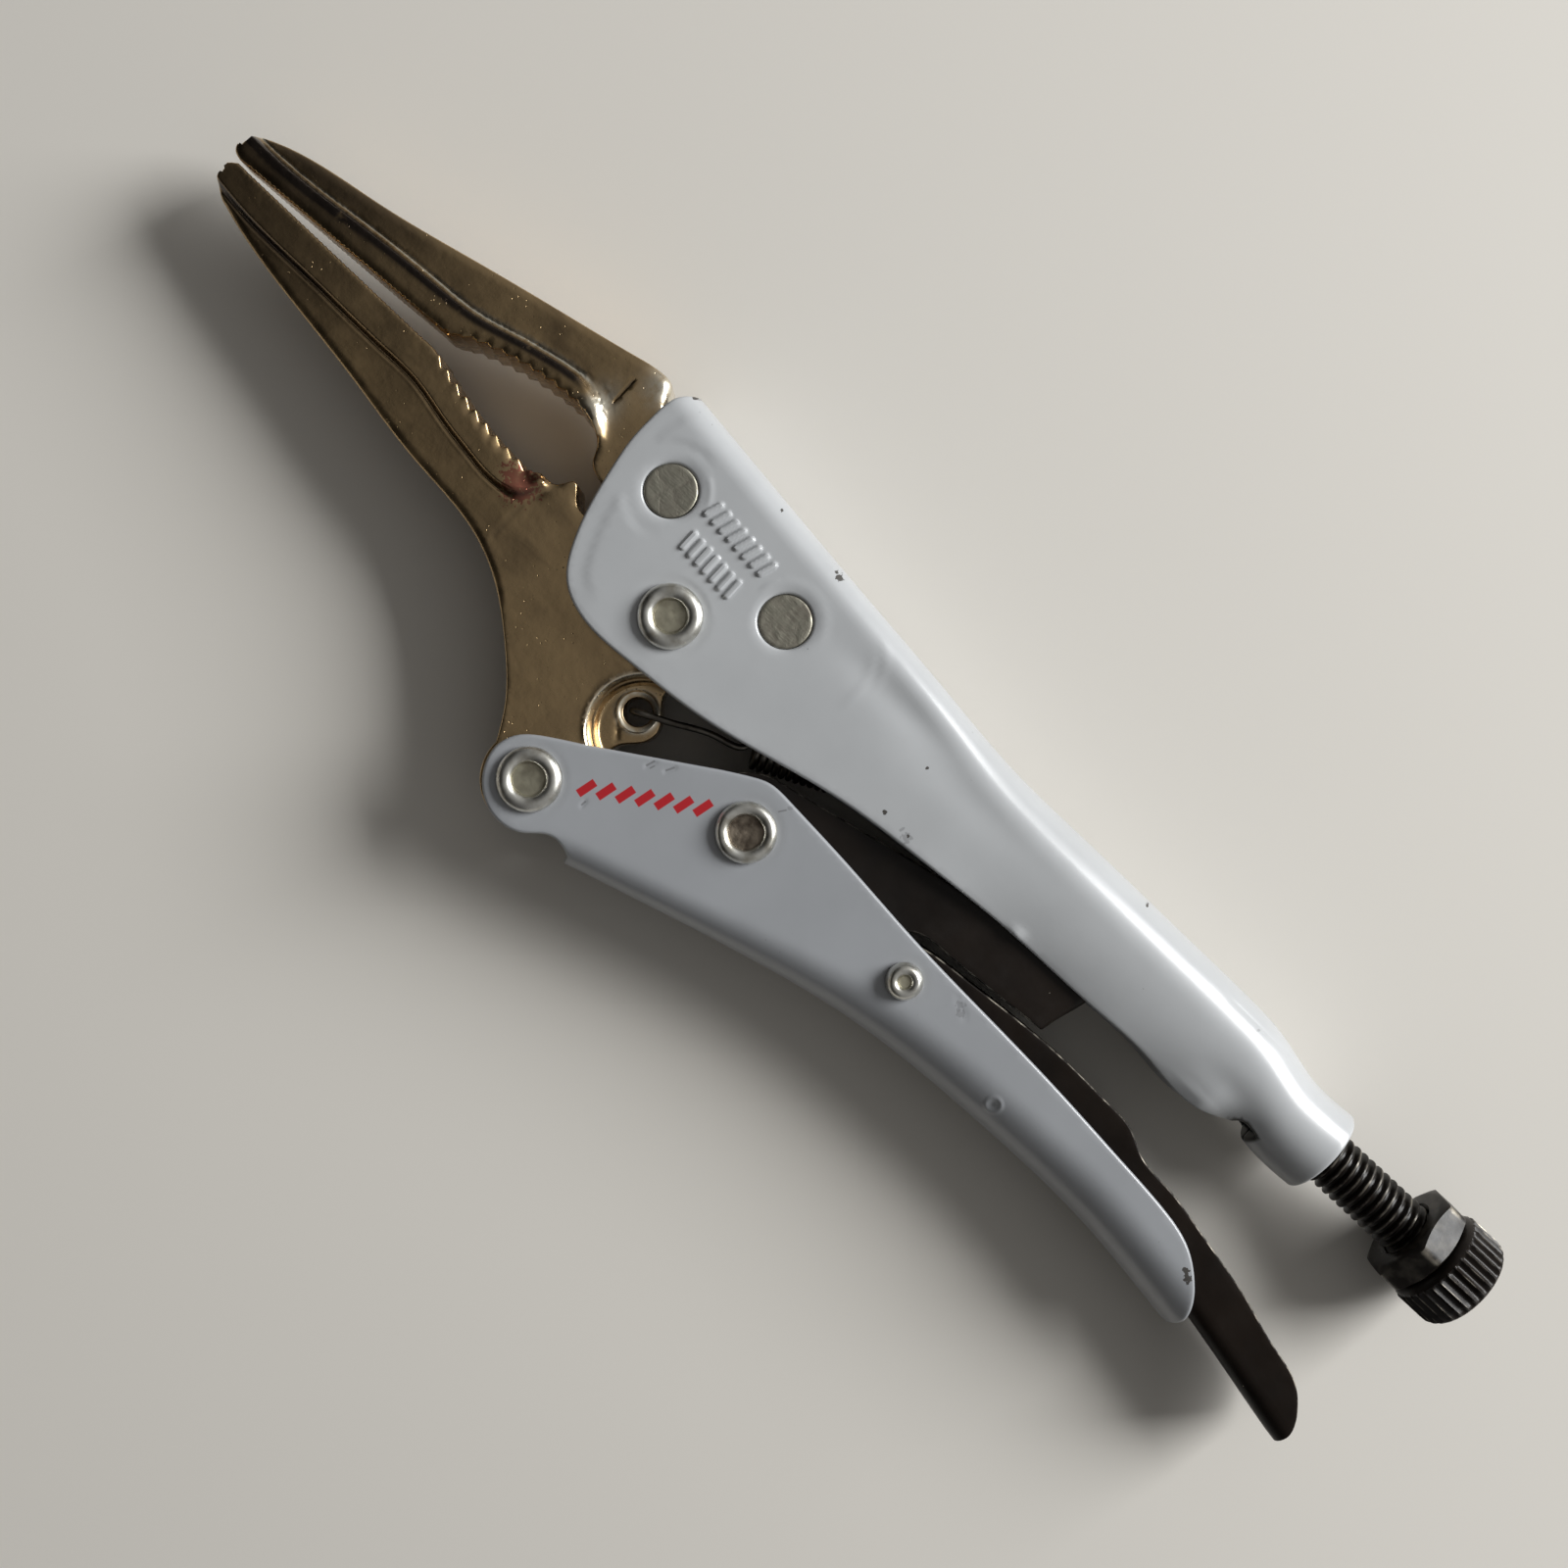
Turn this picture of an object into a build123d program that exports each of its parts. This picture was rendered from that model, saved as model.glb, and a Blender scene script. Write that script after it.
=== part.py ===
"""Long-nose locking pliers, lying on their side.

The pieces are drawn about the main jaw pivot: +X runs along the adjusting screw from the nose to the
knob, +Y from the lever handle to the fixed handle, +Z up through the rivets. main() then moves all of
them so that the origin is under the middle of the tool and its lowest point is at z = 0.
Dimensions are in millimetres and degrees.
"""

import math
import os

from build123d import *

# Pivots, in the drawing frame
JAW_PIVOT = (0.0, 0.0)
LEVER_PIVOT = (0.72, -21.33)
LINK_PIVOT = (20.05, -10.57)
RELEASE_PIVOT = (41.55, -10.7)
SCREW_AXIS_Y = 5.3
SPRING_EYE = (3.8, -9.2)

# Pressed sheet handles
SHEET = 1.5
HANDLE_HALF = 5.5
CHANNEL_HALF = HANDLE_HALF - SHEET
BARREL_RADIUS = 4.8
BARREL_START_X = 78.0
BARREL_END_X = 85.2
BARREL_EDGE = 0.4
CHANNEL_END_X = 80.0
CHANNEL_END_RISE = 0.3
LEVER_SPINE_START_X = 8.6
FIXED_OPEN_Y = -12.0
LEVER_OPEN_Y = 6.0
RELEASE_OPEN_Y = 2.0
HOLLOW_OVERRUN = 2.0
TRIM_REACH = 40.0

# Jaws
JAW_HALF = 3.8
TANG_HALF = 3.95
NOSE_TIP_X = -65.0
NOSE_ROOT_X = -18.9
WEB_TIP_HALF = 1.3
PAD_TIP_HALF = 2.2
PAD_ROOT_HALF = 4.7
TOOTH_COUNT = 9
TOOTH_DEPTH = 0.5
GULLET_SHARE = 0.7
MOVING_TEETH = (-34.9, -20.3)
FIXED_TEETH = (-34.6, -21.0)
MOVING_TOOTH_LINE = {"low": 1.3, "curve": 0.0101, "middle": -20.0}
FIXED_TOOTH_LINE = {"low": 9.2, "curve": -0.0166, "middle": -21.5}
HEEL_RADIUS = 5.2
LUG_HALF = 2.0
LUG_STEP_CENTRE = (5.4, -10.2)
LUG_STEP_RADIUS = 5.05
EYE_HOLE_RADIUS = 1.45
JAW_BOSS_RADIUS = 5.7
TANG_RELIEF_RADIUS = 6.4

# Toggle link and release lever
LINK_HALF = 3.7
LINK_SHEET = 1.3
LINK_BOSS_RADIUS = 6.0
RELEASE_HALF = 3.5
RELEASE_SHEET = 1.2

# Rivets and pins: radii, and how far the heads stand above the cheeks
HEAD_PROUD = 1.0
SMALL_HEAD_PROUD = 1.4
JAW_RIVET = {"shank": 2.25, "head": 3.3, "bowl": 2.1, "floor": 1.65, "depth": 0.55}
LINK_RIVET = {"shank": 2.1, "head": 3.12, "bowl": 2.15, "floor": 1.8, "depth": 0.6}
SMALL_RIVET = {"shank": 1.2, "head": 1.9, "bowl": 1.3, "floor": 0.7, "depth": 0.6}
HEAD_EDGE = 0.35
CREST_DROP = 0.1
CREST_START = 0.15
RUNNING_CLEARANCE = 0.05
SEAT_CLEARANCE = 0.01
PIN_RADIUS = 2.7
PIN_RECESS = 0.15
FRONT_PIN = (-8.45, 9.2)
REAR_PIN = (8.7, 7.4)

# Adjusting screw and lock nut
THREAD_RADIUS = 2.95
BORE_RADIUS = 3.05
SCREW_TIP_X = 60.4
SCREW_TIP_EDGE = 0.6
NUT_START_X = 96.8
NUT_THICKNESS = 3.2
NUT_ACROSS_FLATS = 10.0
NUT_TURN = 24.0
NUT_EDGE = 0.45
NUT_FACE_RADIUS = 4.9
KNOB_START_X = 100.15
KNOB_END_X = 105.5
KNOB_RADIUS = 5.5
KNOB_FRONT_EDGE = 0.5
KNOB_REAR_EDGE = 1.1

# Return spring, and the tab in the fixed handle that holds its far end
WIRE_RADIUS = 0.35
HOOK_WIRE_RADIUS = 0.38
COIL_RADIUS = 1.75
COIL_PITCH = 0.78
COIL_START = 12.0
COIL_LENGTH = 15.0
HOOK_HALF = 2.45
HOOK_SHOULDER = 4.6
HOOK_OVERRUN = 0.55
HOOK_LEAD = 1.5
HOOK_RETURN = 2.5
TAB_CENTRE = (35.2, 5.6)
TAB_TOP = 11.6
TAB_WIDTH = 3.4
TAB_THICKNESS = 1.4
TAB_REACH = 2.2
TAB_HOLE_RADIUS = 0.8

# Stations along X: spine height, half width and bend radius
FIXED_STATIONS = [
    (-17.0, 18.75, 5.5, 3.0),
    (-5.4, 17.24, 5.5, 3.0),
    (4.8, 15.92, 5.5, 3.0),
    (14.9, 14.7, 5.5, 3.0),
    (25.1, 13.53, 5.5, 3.1),
    (35.2, 12.4, 5.5, 3.3),
    (46.0, 12.15, 5.5, 3.6),
    (60.6, 11.92, 5.5, 4.0),
    (69.0, 11.75, 5.45, 4.3),
    (74.3, 11.25, 5.2, 4.5),
    (79.2, 10.2, 4.8, 4.7),
]
LEVER_STATIONS = [
    (4.0, -26.8, 5.5, 3.0),
    (15.0, -23.6, 5.5, 3.0),
    (30.0, -19.55, 5.5, 3.1),
    (40.4, -17.42, 5.5, 3.2),
    (50.5, -16.5, 5.5, 3.3),
    (60.6, -16.2, 5.5, 3.3),
    (70.8, -16.4, 5.5, 3.3),
    (80.9, -17.6, 5.5, 3.2),
    (90.0, -19.0, 5.5, 3.2),
]
RELEASE_STATIONS = [
    (36.0, -13.9, 3.5, 1.8),
    (45.0, -13.7, 3.5, 1.8),
    (60.0, -13.5, 3.5, 1.8),
    (75.0, -14.2, 3.5, 1.8),
    (86.1, -16.2, 3.5, 1.8),
    (96.8, -18.55, 3.5, 1.8),
    (106.0, -20.6, 3.5, 1.8),
]

# Edges of the pressed and forged pieces, each a run of points along one smooth curve
FIXED_EDGE = [
    (-12.9, 18.4), (-14.25, 16.7), (-14.85, 13.5), (-14.85, 10.0), (-14.4, 7.0), (-13.6, 3.2),
    (-12.2, -1.0), (-10.0, -4.4), (-6.5, -6.0), (0.0, -6.1), (8.0, -5.4), (15.0, -4.05),
    (25.0, -1.85), (35.0, -0.8), (46.0, -0.1), (57.0, 0.0), (65.0, 0.0), (69.6, -0.5),
    (73.4, 0.1), (75.8, 1.2),
]
LEVER_BOSS_EDGE = [
    (8.6, -24.65), (7.5, -24.1), (6.4, -24.0), (5.4, -24.4), (3.5, -25.9), (1.2, -26.45),
    (-1.0, -25.9), (-2.6, -24.7), (-3.6, -23.1), (-4.0, -21.3), (-3.3, -19.1), (-1.0, -17.1),
    (2.5, -15.0),
]
LEVER_TOP_EDGE = [
    (14.0, -7.7), (16.8, -6.1), (18.3, -5.45), (21.0, -5.35), (30.0, -6.05), (40.0, -7.05),
    (50.0, -7.65), (60.0, -8.25), (70.0, -9.15), (76.0, -9.8), (80.0, -10.85), (83.0, -13.0),
    (84.9, -15.6), (85.3, -17.0), (84.9, -18.4),
]
RELEASE_TOP_EDGE = [
    (38.5, -9.6), (38.9, -8.2), (40.6, -7.2), (45.2, -6.55), (50.3, -6.1), (55.3, -5.75),
    (60.4, -5.65), (65.4, -5.85), (68.5, -6.2), (71.0, -7.4), (75.5, -8.05), (80.6, -9.0),
    (88.9, -10.9), (93.8, -12.4), (98.0, -13.7), (99.9, -15.4), (101.1, -17.8), (101.0, -19.3),
]
LINK_TOP_EDGE = [(18.9, -4.68), (27.0, -2.95), (35.1, -1.17), (46.0, 1.7), (52.0, 5.2), (55.4, 8.0)]
LINK_REAR_EDGE = [(57.2, 7.0), (57.4, 5.3), (57.3, 2.5), (56.85, 0.0), (56.0, -2.8), (55.6, -4.4)]
LINK_WEB_EDGE = [(56.0, 3.0), (55.5, 0.0), (54.3, -4.0), (53.5, -30.0)]
LINK_LOWER_EDGE = [
    (54.9, -5.05), (50.0, -5.4), (43.0, -5.85), (39.6, -6.3), (37.4, -7.8), (34.0, -10.6),
    (28.0, -14.1), (22.1, -16.21),
]
MOVING_OUTER_EDGE = [
    (-62.5, 0.15), (-60.0, -0.6), (-50.0, -2.6), (-40.0, -4.15), (-30.0, -5.85), (-20.0, -7.3),
    (-14.5, -10.0), (-10.3, -13.4), (-6.3, -17.75), (-4.45, -21.0),
]
MOVING_BACK_EDGE = [
    (5.6, -19.6), (4.6, -16.5), (4.75, -12.9), (6.3, -11.1), (6.65, -9.5), (5.8, -7.8),
    (4.7, -6.4), (4.6, -3.4),
]
MOVING_HEEL = (2.0, -1.0)
MOVING_TIP = [(-64.1, 1.5), (-64.5, 2.9)]
MOVING_GRIP_FRONT = [(-63.4, 4.0), (-36.0, 3.65)]
MOVING_LUG = [(-20.0, 1.3), (-19.2, 1.75), (-17.8, 1.85), (-16.3, 3.5), (-14.8, 2.1), (-12.5, 1.7)]
MOVING_PAD_EDGE = [
    (-64.2, 1.3), (-60.0, 0.75), (-50.0, 0.45), (-40.0, 0.2), (-35.0, 0.05), (-30.0, -1.0),
    (-26.0, -1.65), (-22.0, -1.95), (-19.6, -1.1), (-18.4, 1.0),
]
MOVING_PAD_CORNER = (-19.2, 1.75)
FIXED_OUTER_EDGE = [
    (-63.9, 7.6), (-62.0, 8.35), (-50.0, 10.75), (-40.0, 12.8), (-30.0, 14.9), (-20.0, 16.95),
    (-17.6, 17.4), (-15.9, 17.2), (-15.2, 16.0),
]
FIXED_PAD_EDGE = [
    (-64.3, 7.15), (-60.0, 7.1), (-50.0, 7.9), (-40.0, 8.6), (-35.0, 9.0), (-30.0, 10.2),
    (-26.0, 11.05), (-22.0, 11.4), (-19.4, 10.6), (-17.4, 8.4),
]
FIXED_PAD_CORNER = (-18.4, 8.6)
FIXED_TIP = [(-64.6, 6.9), (-65.0, 5.9), (-64.6, 4.75)]
FIXED_GRIP_FRONT = [(-63.6, 4.35), (-36.0, 5.55)]
FIXED_THROAT_EDGE = [(-20.2, 9.2), (-18.4, 8.6), (-17.1, 7.5), (-16.3, 6.0), (-14.6, 5.2)]
TANG_EDGE = [
    (0.0, 5.2), (4.5, 3.4), (11.6, 3.4), (13.2, 5.6), (13.0, 10.0), (11.5, 11.6), (0.0, 13.0),
    (-13.2, 14.7), (-14.8, 14.9),
]


def slab(face, low, high):
    """The face in the XY plane, made solid from z = low to z = high."""
    return extrude(Pos(0, 0, low) * face, amount=high - low)


def layer(face, half):
    """The face in the XY plane, made solid equally to both sides of the middle plane."""
    return slab(face, -half, half)


def bore(centre, radius):
    """A cylinder along Z that reaches past both faces of the tool."""
    return Pos(*centre, 0) * Cylinder(radius, 2 * TRIM_REACH)


def along_x(start, end, radius, y=SCREW_AXIS_Y):
    """A cylinder along X from start to end."""
    middle = Pos((start + end) / 2, y, 0)
    return middle * Rot(0, 90, 0) * Cylinder(radius, end - start)


def channel_section(station, edge):
    """A filled cross-section at one station: open and flat at the edge, rounded at the spine."""
    x, spine, half, bend = station
    side = math.copysign(1.0, spine - edge)
    shoulder = spine - side * bend
    corner = bend * (1 - math.sqrt(0.5))
    outline = Line((edge, -half), (shoulder, -half))
    outline += ThreePointArc(
        (shoulder, -half), (spine - side * corner, corner - half), (spine, bend - half)
    )
    outline += Line((spine, bend - half), (spine, half - bend))
    outline += ThreePointArc(
        (spine, half - bend), (spine - side * corner, half - corner), (shoulder, half)
    )
    outline += Line((shoulder, half), (edge, half))
    outline += Line((edge, half), (edge, -half))
    return Plane(origin=(x, 0, 0), x_dir=(0, 1, 0), z_dir=(1, 0, 0)) * make_face(outline)


def inner_station(station, sheet, side):
    """The station of a channel's inside, one sheet thickness in."""
    x, spine, half, bend = station
    return (x, spine - side * sheet, half - sheet, min(bend, half - 0.1) - sheet)


def channel(stations, edge):
    """A solid bar through the cross-sections."""
    return loft([channel_section(station, edge) for station in stations])


def channel_inside(stations, edge, sheet, side):
    """The hollow of a channel, run out a little past the open edge."""
    inner = [inner_station(station, sheet, side) for station in stations]
    return channel(inner, edge - side * HOLLOW_OVERRUN)


def rivet_profile_end(sizes, face, proud, bowl):
    """Points of one rivet head from its centre out to the cheek, heights away from the middle."""
    top = face + proud
    if not bowl:
        return [(0, top), (sizes["head"] - HEAD_EDGE, top), (sizes["head"], top - HEAD_EDGE)]
    return [
        (0, top - sizes["depth"]),
        (sizes["floor"], top - sizes["depth"]),
        (sizes["bowl"], top - CREST_DROP),
        (sizes["bowl"] + CREST_START, top),
        (sizes["head"] - HEAD_EDGE, top - CREST_DROP),
        (sizes["head"], top - proud / 2),
    ]


def rivet(centre, sizes, proud):
    """A rivet through both cheeks: a bowl in the upper head, a plain lower head."""
    upper = rivet_profile_end(sizes, HANDLE_HALF, proud, True)
    lower = rivet_profile_end(sizes, HANDLE_HALF, HEAD_PROUD, False)
    points = [*upper, (sizes["head"], HANDLE_HALF), (sizes["shank"], HANDLE_HALF)]
    points += [(sizes["shank"], -HANDLE_HALF), (sizes["head"], -HANDLE_HALF)]
    points += [(radius, -height) for radius, height in reversed(lower)]
    face = Plane.XZ * make_face(Polyline(*points, close=True))
    return Pos(*centre, 0) * revolve(face, Axis.Z)


def wedge(tip_half, root_half):
    """The space that a nose tapers in: thin at the tip, full from the root back."""
    slope = (root_half - tip_half) / (NOSE_ROOT_X - NOSE_TIP_X)
    front = -2 * TRIM_REACH
    front_half = tip_half + (front - NOSE_TIP_X) * slope
    points = [(front, -front_half), (NOSE_ROOT_X, -root_half), (TRIM_REACH, -root_half)]
    points += [(x, -z) for x, z in reversed(points)]
    face = Plane.XZ * make_face(Polyline(*points, close=True))
    return extrude(face, amount=TRIM_REACH, both=True)


def teeth(ends, line, side):
    """Points of a row of teeth along a curve, with the gullets cut toward the given side."""
    start_x, end_x = ends
    pitch = (end_x - start_x) / TOOTH_COUNT
    points = []
    for index in range(TOOTH_COUNT):
        crest = start_x + index * pitch
        gullet = crest + GULLET_SHARE * pitch
        points.append((crest, crest_height(line, crest)))
        points.append((gullet, crest_height(line, gullet) + side * TOOTH_DEPTH))
    points.append((end_x, crest_height(line, end_x)))
    return points


def crest_height(line, x):
    """Height of a row's tooth crests at x, on its shallow curve."""
    return line["low"] + line["curve"] * (x - line["middle"]) ** 2


def spring_axis():
    """Start, unit direction and length of the line that the spring pulls along."""
    start = Vector(*SPRING_EYE, 0)
    line = Vector(*TAB_CENTRE, 0) - start
    return start, line.normalized(), line.length


def wire_run(points):
    """Round wire through the points, with rounded corners."""
    run = Pos(*points[0]) * Sphere(HOOK_WIRE_RADIUS)
    from_start = (Align.CENTER, Align.CENTER, Align.MIN)
    for start, end in zip(points, points[1:]):
        line = Vector(*end) - Vector(*start)
        leg = Cylinder(HOOK_WIRE_RADIUS, line.length, align=from_start)
        run += Plane(origin=start, z_dir=line) * leg
        run += Pos(*end) * Sphere(HOOK_WIRE_RADIUS)
    return run


def make_spring_tab():
    """The tab bent down inside the fixed handle, with a hole for the spring's far hook."""
    x, y = TAB_CENTRE
    low = y - TAB_REACH
    tab = Pos(x, (TAB_TOP + low) / 2, 0) * Box(TAB_WIDTH, TAB_TOP - low, TAB_THICKNESS)
    return tab - Pos(x, y, 0) * Cylinder(TAB_HOLE_RADIUS, 2 * TAB_THICKNESS)


def make_barrel():
    """The rolled end of the fixed handle that the adjusting screw runs in."""
    tube = along_x(BARREL_START_X, BARREL_END_X, BARREL_RADIUS)
    rim = tube.edges().filter_by(GeomType.CIRCLE).sort_by(Axis.X)[-1]
    return fillet(rim, BARREL_EDGE)


def make_fixed_handle():
    """The upper handle: a channel that closes into a barrel at the back."""
    edge = Spline(*FIXED_EDGE)
    rest = Polyline(
        FIXED_EDGE[-1],
        (CHANNEL_END_X, FIXED_EDGE[-1][1] + CHANNEL_END_RISE),
        (CHANNEL_END_X, TRIM_REACH),
        (FIXED_EDGE[0][0], TRIM_REACH),
        FIXED_EDGE[0],
    )
    side_view = layer(make_face(edge + rest), HANDLE_HALF)
    shell = channel(FIXED_STATIONS, FIXED_OPEN_Y) & side_view
    shell -= channel_inside(FIXED_STATIONS, FIXED_OPEN_Y, SHEET, 1)
    shell += make_barrel() + make_spring_tab()
    shell -= along_x(BARREL_START_X - BARREL_RADIUS, BARREL_END_X + SHEET, BORE_RADIUS)
    shell -= bore(JAW_PIVOT, JAW_RIVET["shank"] + SEAT_CLEARANCE)
    shell -= bore(FRONT_PIN, PIN_RADIUS + SEAT_CLEARANCE)
    return shell - bore(REAR_PIN, PIN_RADIUS + SEAT_CLEARANCE)


def lever_side_view():
    """The outline of the lever handle from the side, left long past the spine."""
    boss = Spline(*LEVER_BOSS_EDGE)
    slope = Line(LEVER_BOSS_EDGE[-1], LEVER_TOP_EDGE[0])
    top = Spline(*LEVER_TOP_EDGE)
    rest = Polyline(
        LEVER_TOP_EDGE[-1],
        (LEVER_TOP_EDGE[-1][0], -TRIM_REACH),
        (LEVER_SPINE_START_X, -TRIM_REACH),
        LEVER_BOSS_EDGE[0],
    )
    return make_face(boss + slope + top + rest)


def make_lever_handle():
    """The lower handle: two cheeks at the jaw, joined by a spine from there back."""
    outline = lever_side_view()
    behind = Pos(LEVER_SPINE_START_X + TRIM_REACH * 2, 0) * Rectangle(4 * TRIM_REACH, 4 * TRIM_REACH)
    cheeks = layer(outline - behind, HANDLE_HALF)
    shell = channel(LEVER_STATIONS, LEVER_OPEN_Y) & layer(outline & behind, HANDLE_HALF)
    shell += cheeks
    shell -= channel_inside(LEVER_STATIONS, LEVER_OPEN_Y, SHEET, -1)
    shell -= layer(outline - behind, CHANNEL_HALF)
    shell -= bore(LEVER_PIVOT, JAW_RIVET["shank"] + SEAT_CLEARANCE)
    shell -= bore(LINK_PIVOT, LINK_RIVET["shank"] + SEAT_CLEARANCE)
    return shell - bore(RELEASE_PIVOT, SMALL_RIVET["shank"] + SEAT_CLEARANCE)


def make_release_lever():
    """The channel between the lever handle's cheeks that prises the toggle open."""
    edge = Spline(*RELEASE_TOP_EDGE)
    start, end = RELEASE_TOP_EDGE[0], RELEASE_TOP_EDGE[-1]
    rest = Polyline(end, (end[0], -TRIM_REACH), (start[0], -TRIM_REACH), start)
    shell = channel(RELEASE_STATIONS, RELEASE_OPEN_Y)
    shell &= layer(make_face(edge + rest), 2 * RELEASE_HALF)
    shell -= channel_inside(RELEASE_STATIONS, RELEASE_OPEN_Y, RELEASE_SHEET, -1)
    return shell - bore(RELEASE_PIVOT, SMALL_RIVET["shank"] + RUNNING_CLEARANCE)


def make_toggle_link():
    """The link from the lever handle to the tip of the adjusting screw."""
    outline = Spline(*LINK_TOP_EDGE) + Line(LINK_TOP_EDGE[-1], LINK_REAR_EDGE[0])
    outline += Spline(*LINK_REAR_EDGE) + Line(LINK_REAR_EDGE[-1], LINK_LOWER_EDGE[0])
    outline += Spline(*LINK_LOWER_EDGE) + Line(LINK_LOWER_EDGE[-1], LINK_TOP_EDGE[0])
    side_view = make_face(outline) + Pos(*LINK_PIVOT) * Circle(LINK_BOSS_RADIUS)
    inside = Polyline(
        (0, -TRIM_REACH), (0, TRIM_REACH), (LINK_WEB_EDGE[0][0], TRIM_REACH), *LINK_WEB_EDGE, close=True
    )
    link = layer(side_view, LINK_HALF) - layer(make_face(inside), LINK_HALF - LINK_SHEET)
    return link - bore(LINK_PIVOT, LINK_RIVET["shank"] + RUNNING_CLEARANCE)


def moving_grip_points():
    """The moving jaw's gripping edge from the tip to the lug behind the teeth."""
    return [*MOVING_GRIP_FRONT, *teeth(MOVING_TEETH, MOVING_TOOTH_LINE, -1)]


def fixed_grip_points():
    """The fixed jaw's gripping edge from the tip to the throat."""
    return [*FIXED_GRIP_FRONT, *teeth(FIXED_TEETH, FIXED_TOOTH_LINE, 1)]


def make_moving_jaw():
    """The lower jaw with its pivot boss, spring eye and heel."""
    grip = moving_grip_points()
    outline = Spline(*MOVING_OUTER_EDGE)
    outline += Line(MOVING_OUTER_EDGE[-1], MOVING_BACK_EDGE[0])
    outline += Spline(*MOVING_BACK_EDGE)
    outline += Polyline(MOVING_BACK_EDGE[-1], MOVING_HEEL, *reversed(MOVING_LUG), *reversed(grip))
    outline += Polyline(grip[0], *reversed(MOVING_TIP), MOVING_OUTER_EDGE[0])
    side_view = make_face(outline)
    side_view += Pos(*JAW_PIVOT) * Circle(JAW_BOSS_RADIUS)
    side_view += Pos(*LEVER_PIVOT) * Circle(HEEL_RADIUS)
    jaw = layer(side_view, 2 * JAW_HALF) & wedge(WEB_TIP_HALF, JAW_HALF)
    pad_edge = Spline(*MOVING_PAD_EDGE)
    pad = Polyline(
        MOVING_PAD_EDGE[-1], MOVING_PAD_CORNER, MOVING_LUG[0], *reversed(grip), MOVING_TIP[-1],
        MOVING_PAD_EDGE[0],
    )
    jaw += layer(make_face(pad_edge + pad), 2 * JAW_HALF) & wedge(PAD_TIP_HALF, PAD_ROOT_HALF)
    step = Pos(*LUG_STEP_CENTRE) * Circle(LUG_STEP_RADIUS)
    jaw -= slab(step, LUG_HALF, TRIM_REACH) + slab(step, -TRIM_REACH, -LUG_HALF)
    jaw -= bore(SPRING_EYE, EYE_HOLE_RADIUS)
    jaw -= bore(JAW_PIVOT, JAW_RIVET["shank"] + RUNNING_CLEARANCE)
    return jaw - bore(LEVER_PIVOT, JAW_RIVET["shank"] + RUNNING_CLEARANCE)


def make_fixed_jaw():
    """The upper jaw with the tang that is pinned in the fixed handle."""
    grip = fixed_grip_points()
    outline = Spline(*FIXED_OUTER_EDGE)
    outline += Polyline(FIXED_OUTER_EDGE[-1], *reversed(TANG_EDGE), FIXED_THROAT_EDGE[-1])
    outline += Spline(*reversed(FIXED_THROAT_EDGE))
    outline += Polyline(FIXED_THROAT_EDGE[0], *reversed(grip), *reversed(FIXED_TIP), FIXED_OUTER_EDGE[0])
    side_view = make_face(outline) - Pos(*JAW_PIVOT) * Circle(TANG_RELIEF_RADIUS)
    jaw = layer(side_view, 2 * TANG_HALF) & wedge(WEB_TIP_HALF, TANG_HALF)
    pad_edge = Spline(*FIXED_PAD_EDGE)
    pad = Polyline(FIXED_PAD_EDGE[-1], FIXED_PAD_CORNER, FIXED_THROAT_EDGE[0], *reversed(grip))
    pad += Polyline(grip[0], FIXED_TIP[2], FIXED_TIP[1], FIXED_PAD_EDGE[0])
    jaw += layer(make_face(pad_edge + pad), 2 * TANG_HALF) & wedge(PAD_TIP_HALF, PAD_ROOT_HALF)
    jaw -= bore(FRONT_PIN, PIN_RADIUS + SEAT_CLEARANCE)
    return jaw - bore(REAR_PIN, PIN_RADIUS + SEAT_CLEARANCE)


def make_jaw_pin(centre):
    """A plain pin, sunk a little below both cheeks."""
    return Pos(*centre, 0) * Cylinder(PIN_RADIUS, 2 * (HANDLE_HALF - PIN_RECESS))


def make_return_spring():
    """The extension spring from the moving jaw's eye to the tab in the fixed handle."""
    start, direction, length = spring_axis()
    frame = Plane(origin=start, x_dir=Vector(0, 0, 1), z_dir=direction)
    path = Helix(COIL_PITCH, COIL_LENGTH, COIL_RADIUS)
    profile = Plane(path @ 0, z_dir=path % 0) * Circle(WIRE_RADIUS)
    coil = sweep(profile, path=path, is_frenet=True)
    spring = frame * Pos(0, 0, COIL_START) * coil
    near = wire_run(near_hook_points(path @ 0))
    far = wire_run(far_hook_points(path @ 1, length))
    return spring + frame * near + frame * far


def near_hook_points(coil_end):
    """The hook through the moving jaw's eye, in the spring's own frame."""
    side = HOOK_HALF
    return [
        (coil_end.X, coil_end.Y, COIL_START),
        (side, 0, HOOK_SHOULDER),
        (side, 0, -HOOK_OVERRUN),
        (-side, 0, -HOOK_OVERRUN),
        (-side, 0, HOOK_SHOULDER),
        (-COIL_RADIUS, 0, COIL_START - HOOK_LEAD),
    ]


def far_hook_points(coil_end, length):
    """The hook through the handle's tab, in the spring's own frame."""
    top = COIL_START + COIL_LENGTH
    side = TAB_THICKNESS / 2 + 2 * WIRE_RADIUS
    return [
        (coil_end.X, coil_end.Y, top),
        (side, 0, top + HOOK_LEAD),
        (side, 0, length),
        (-side, 0, length),
        (-side, 0, top + HOOK_RETURN),
    ]


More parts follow.
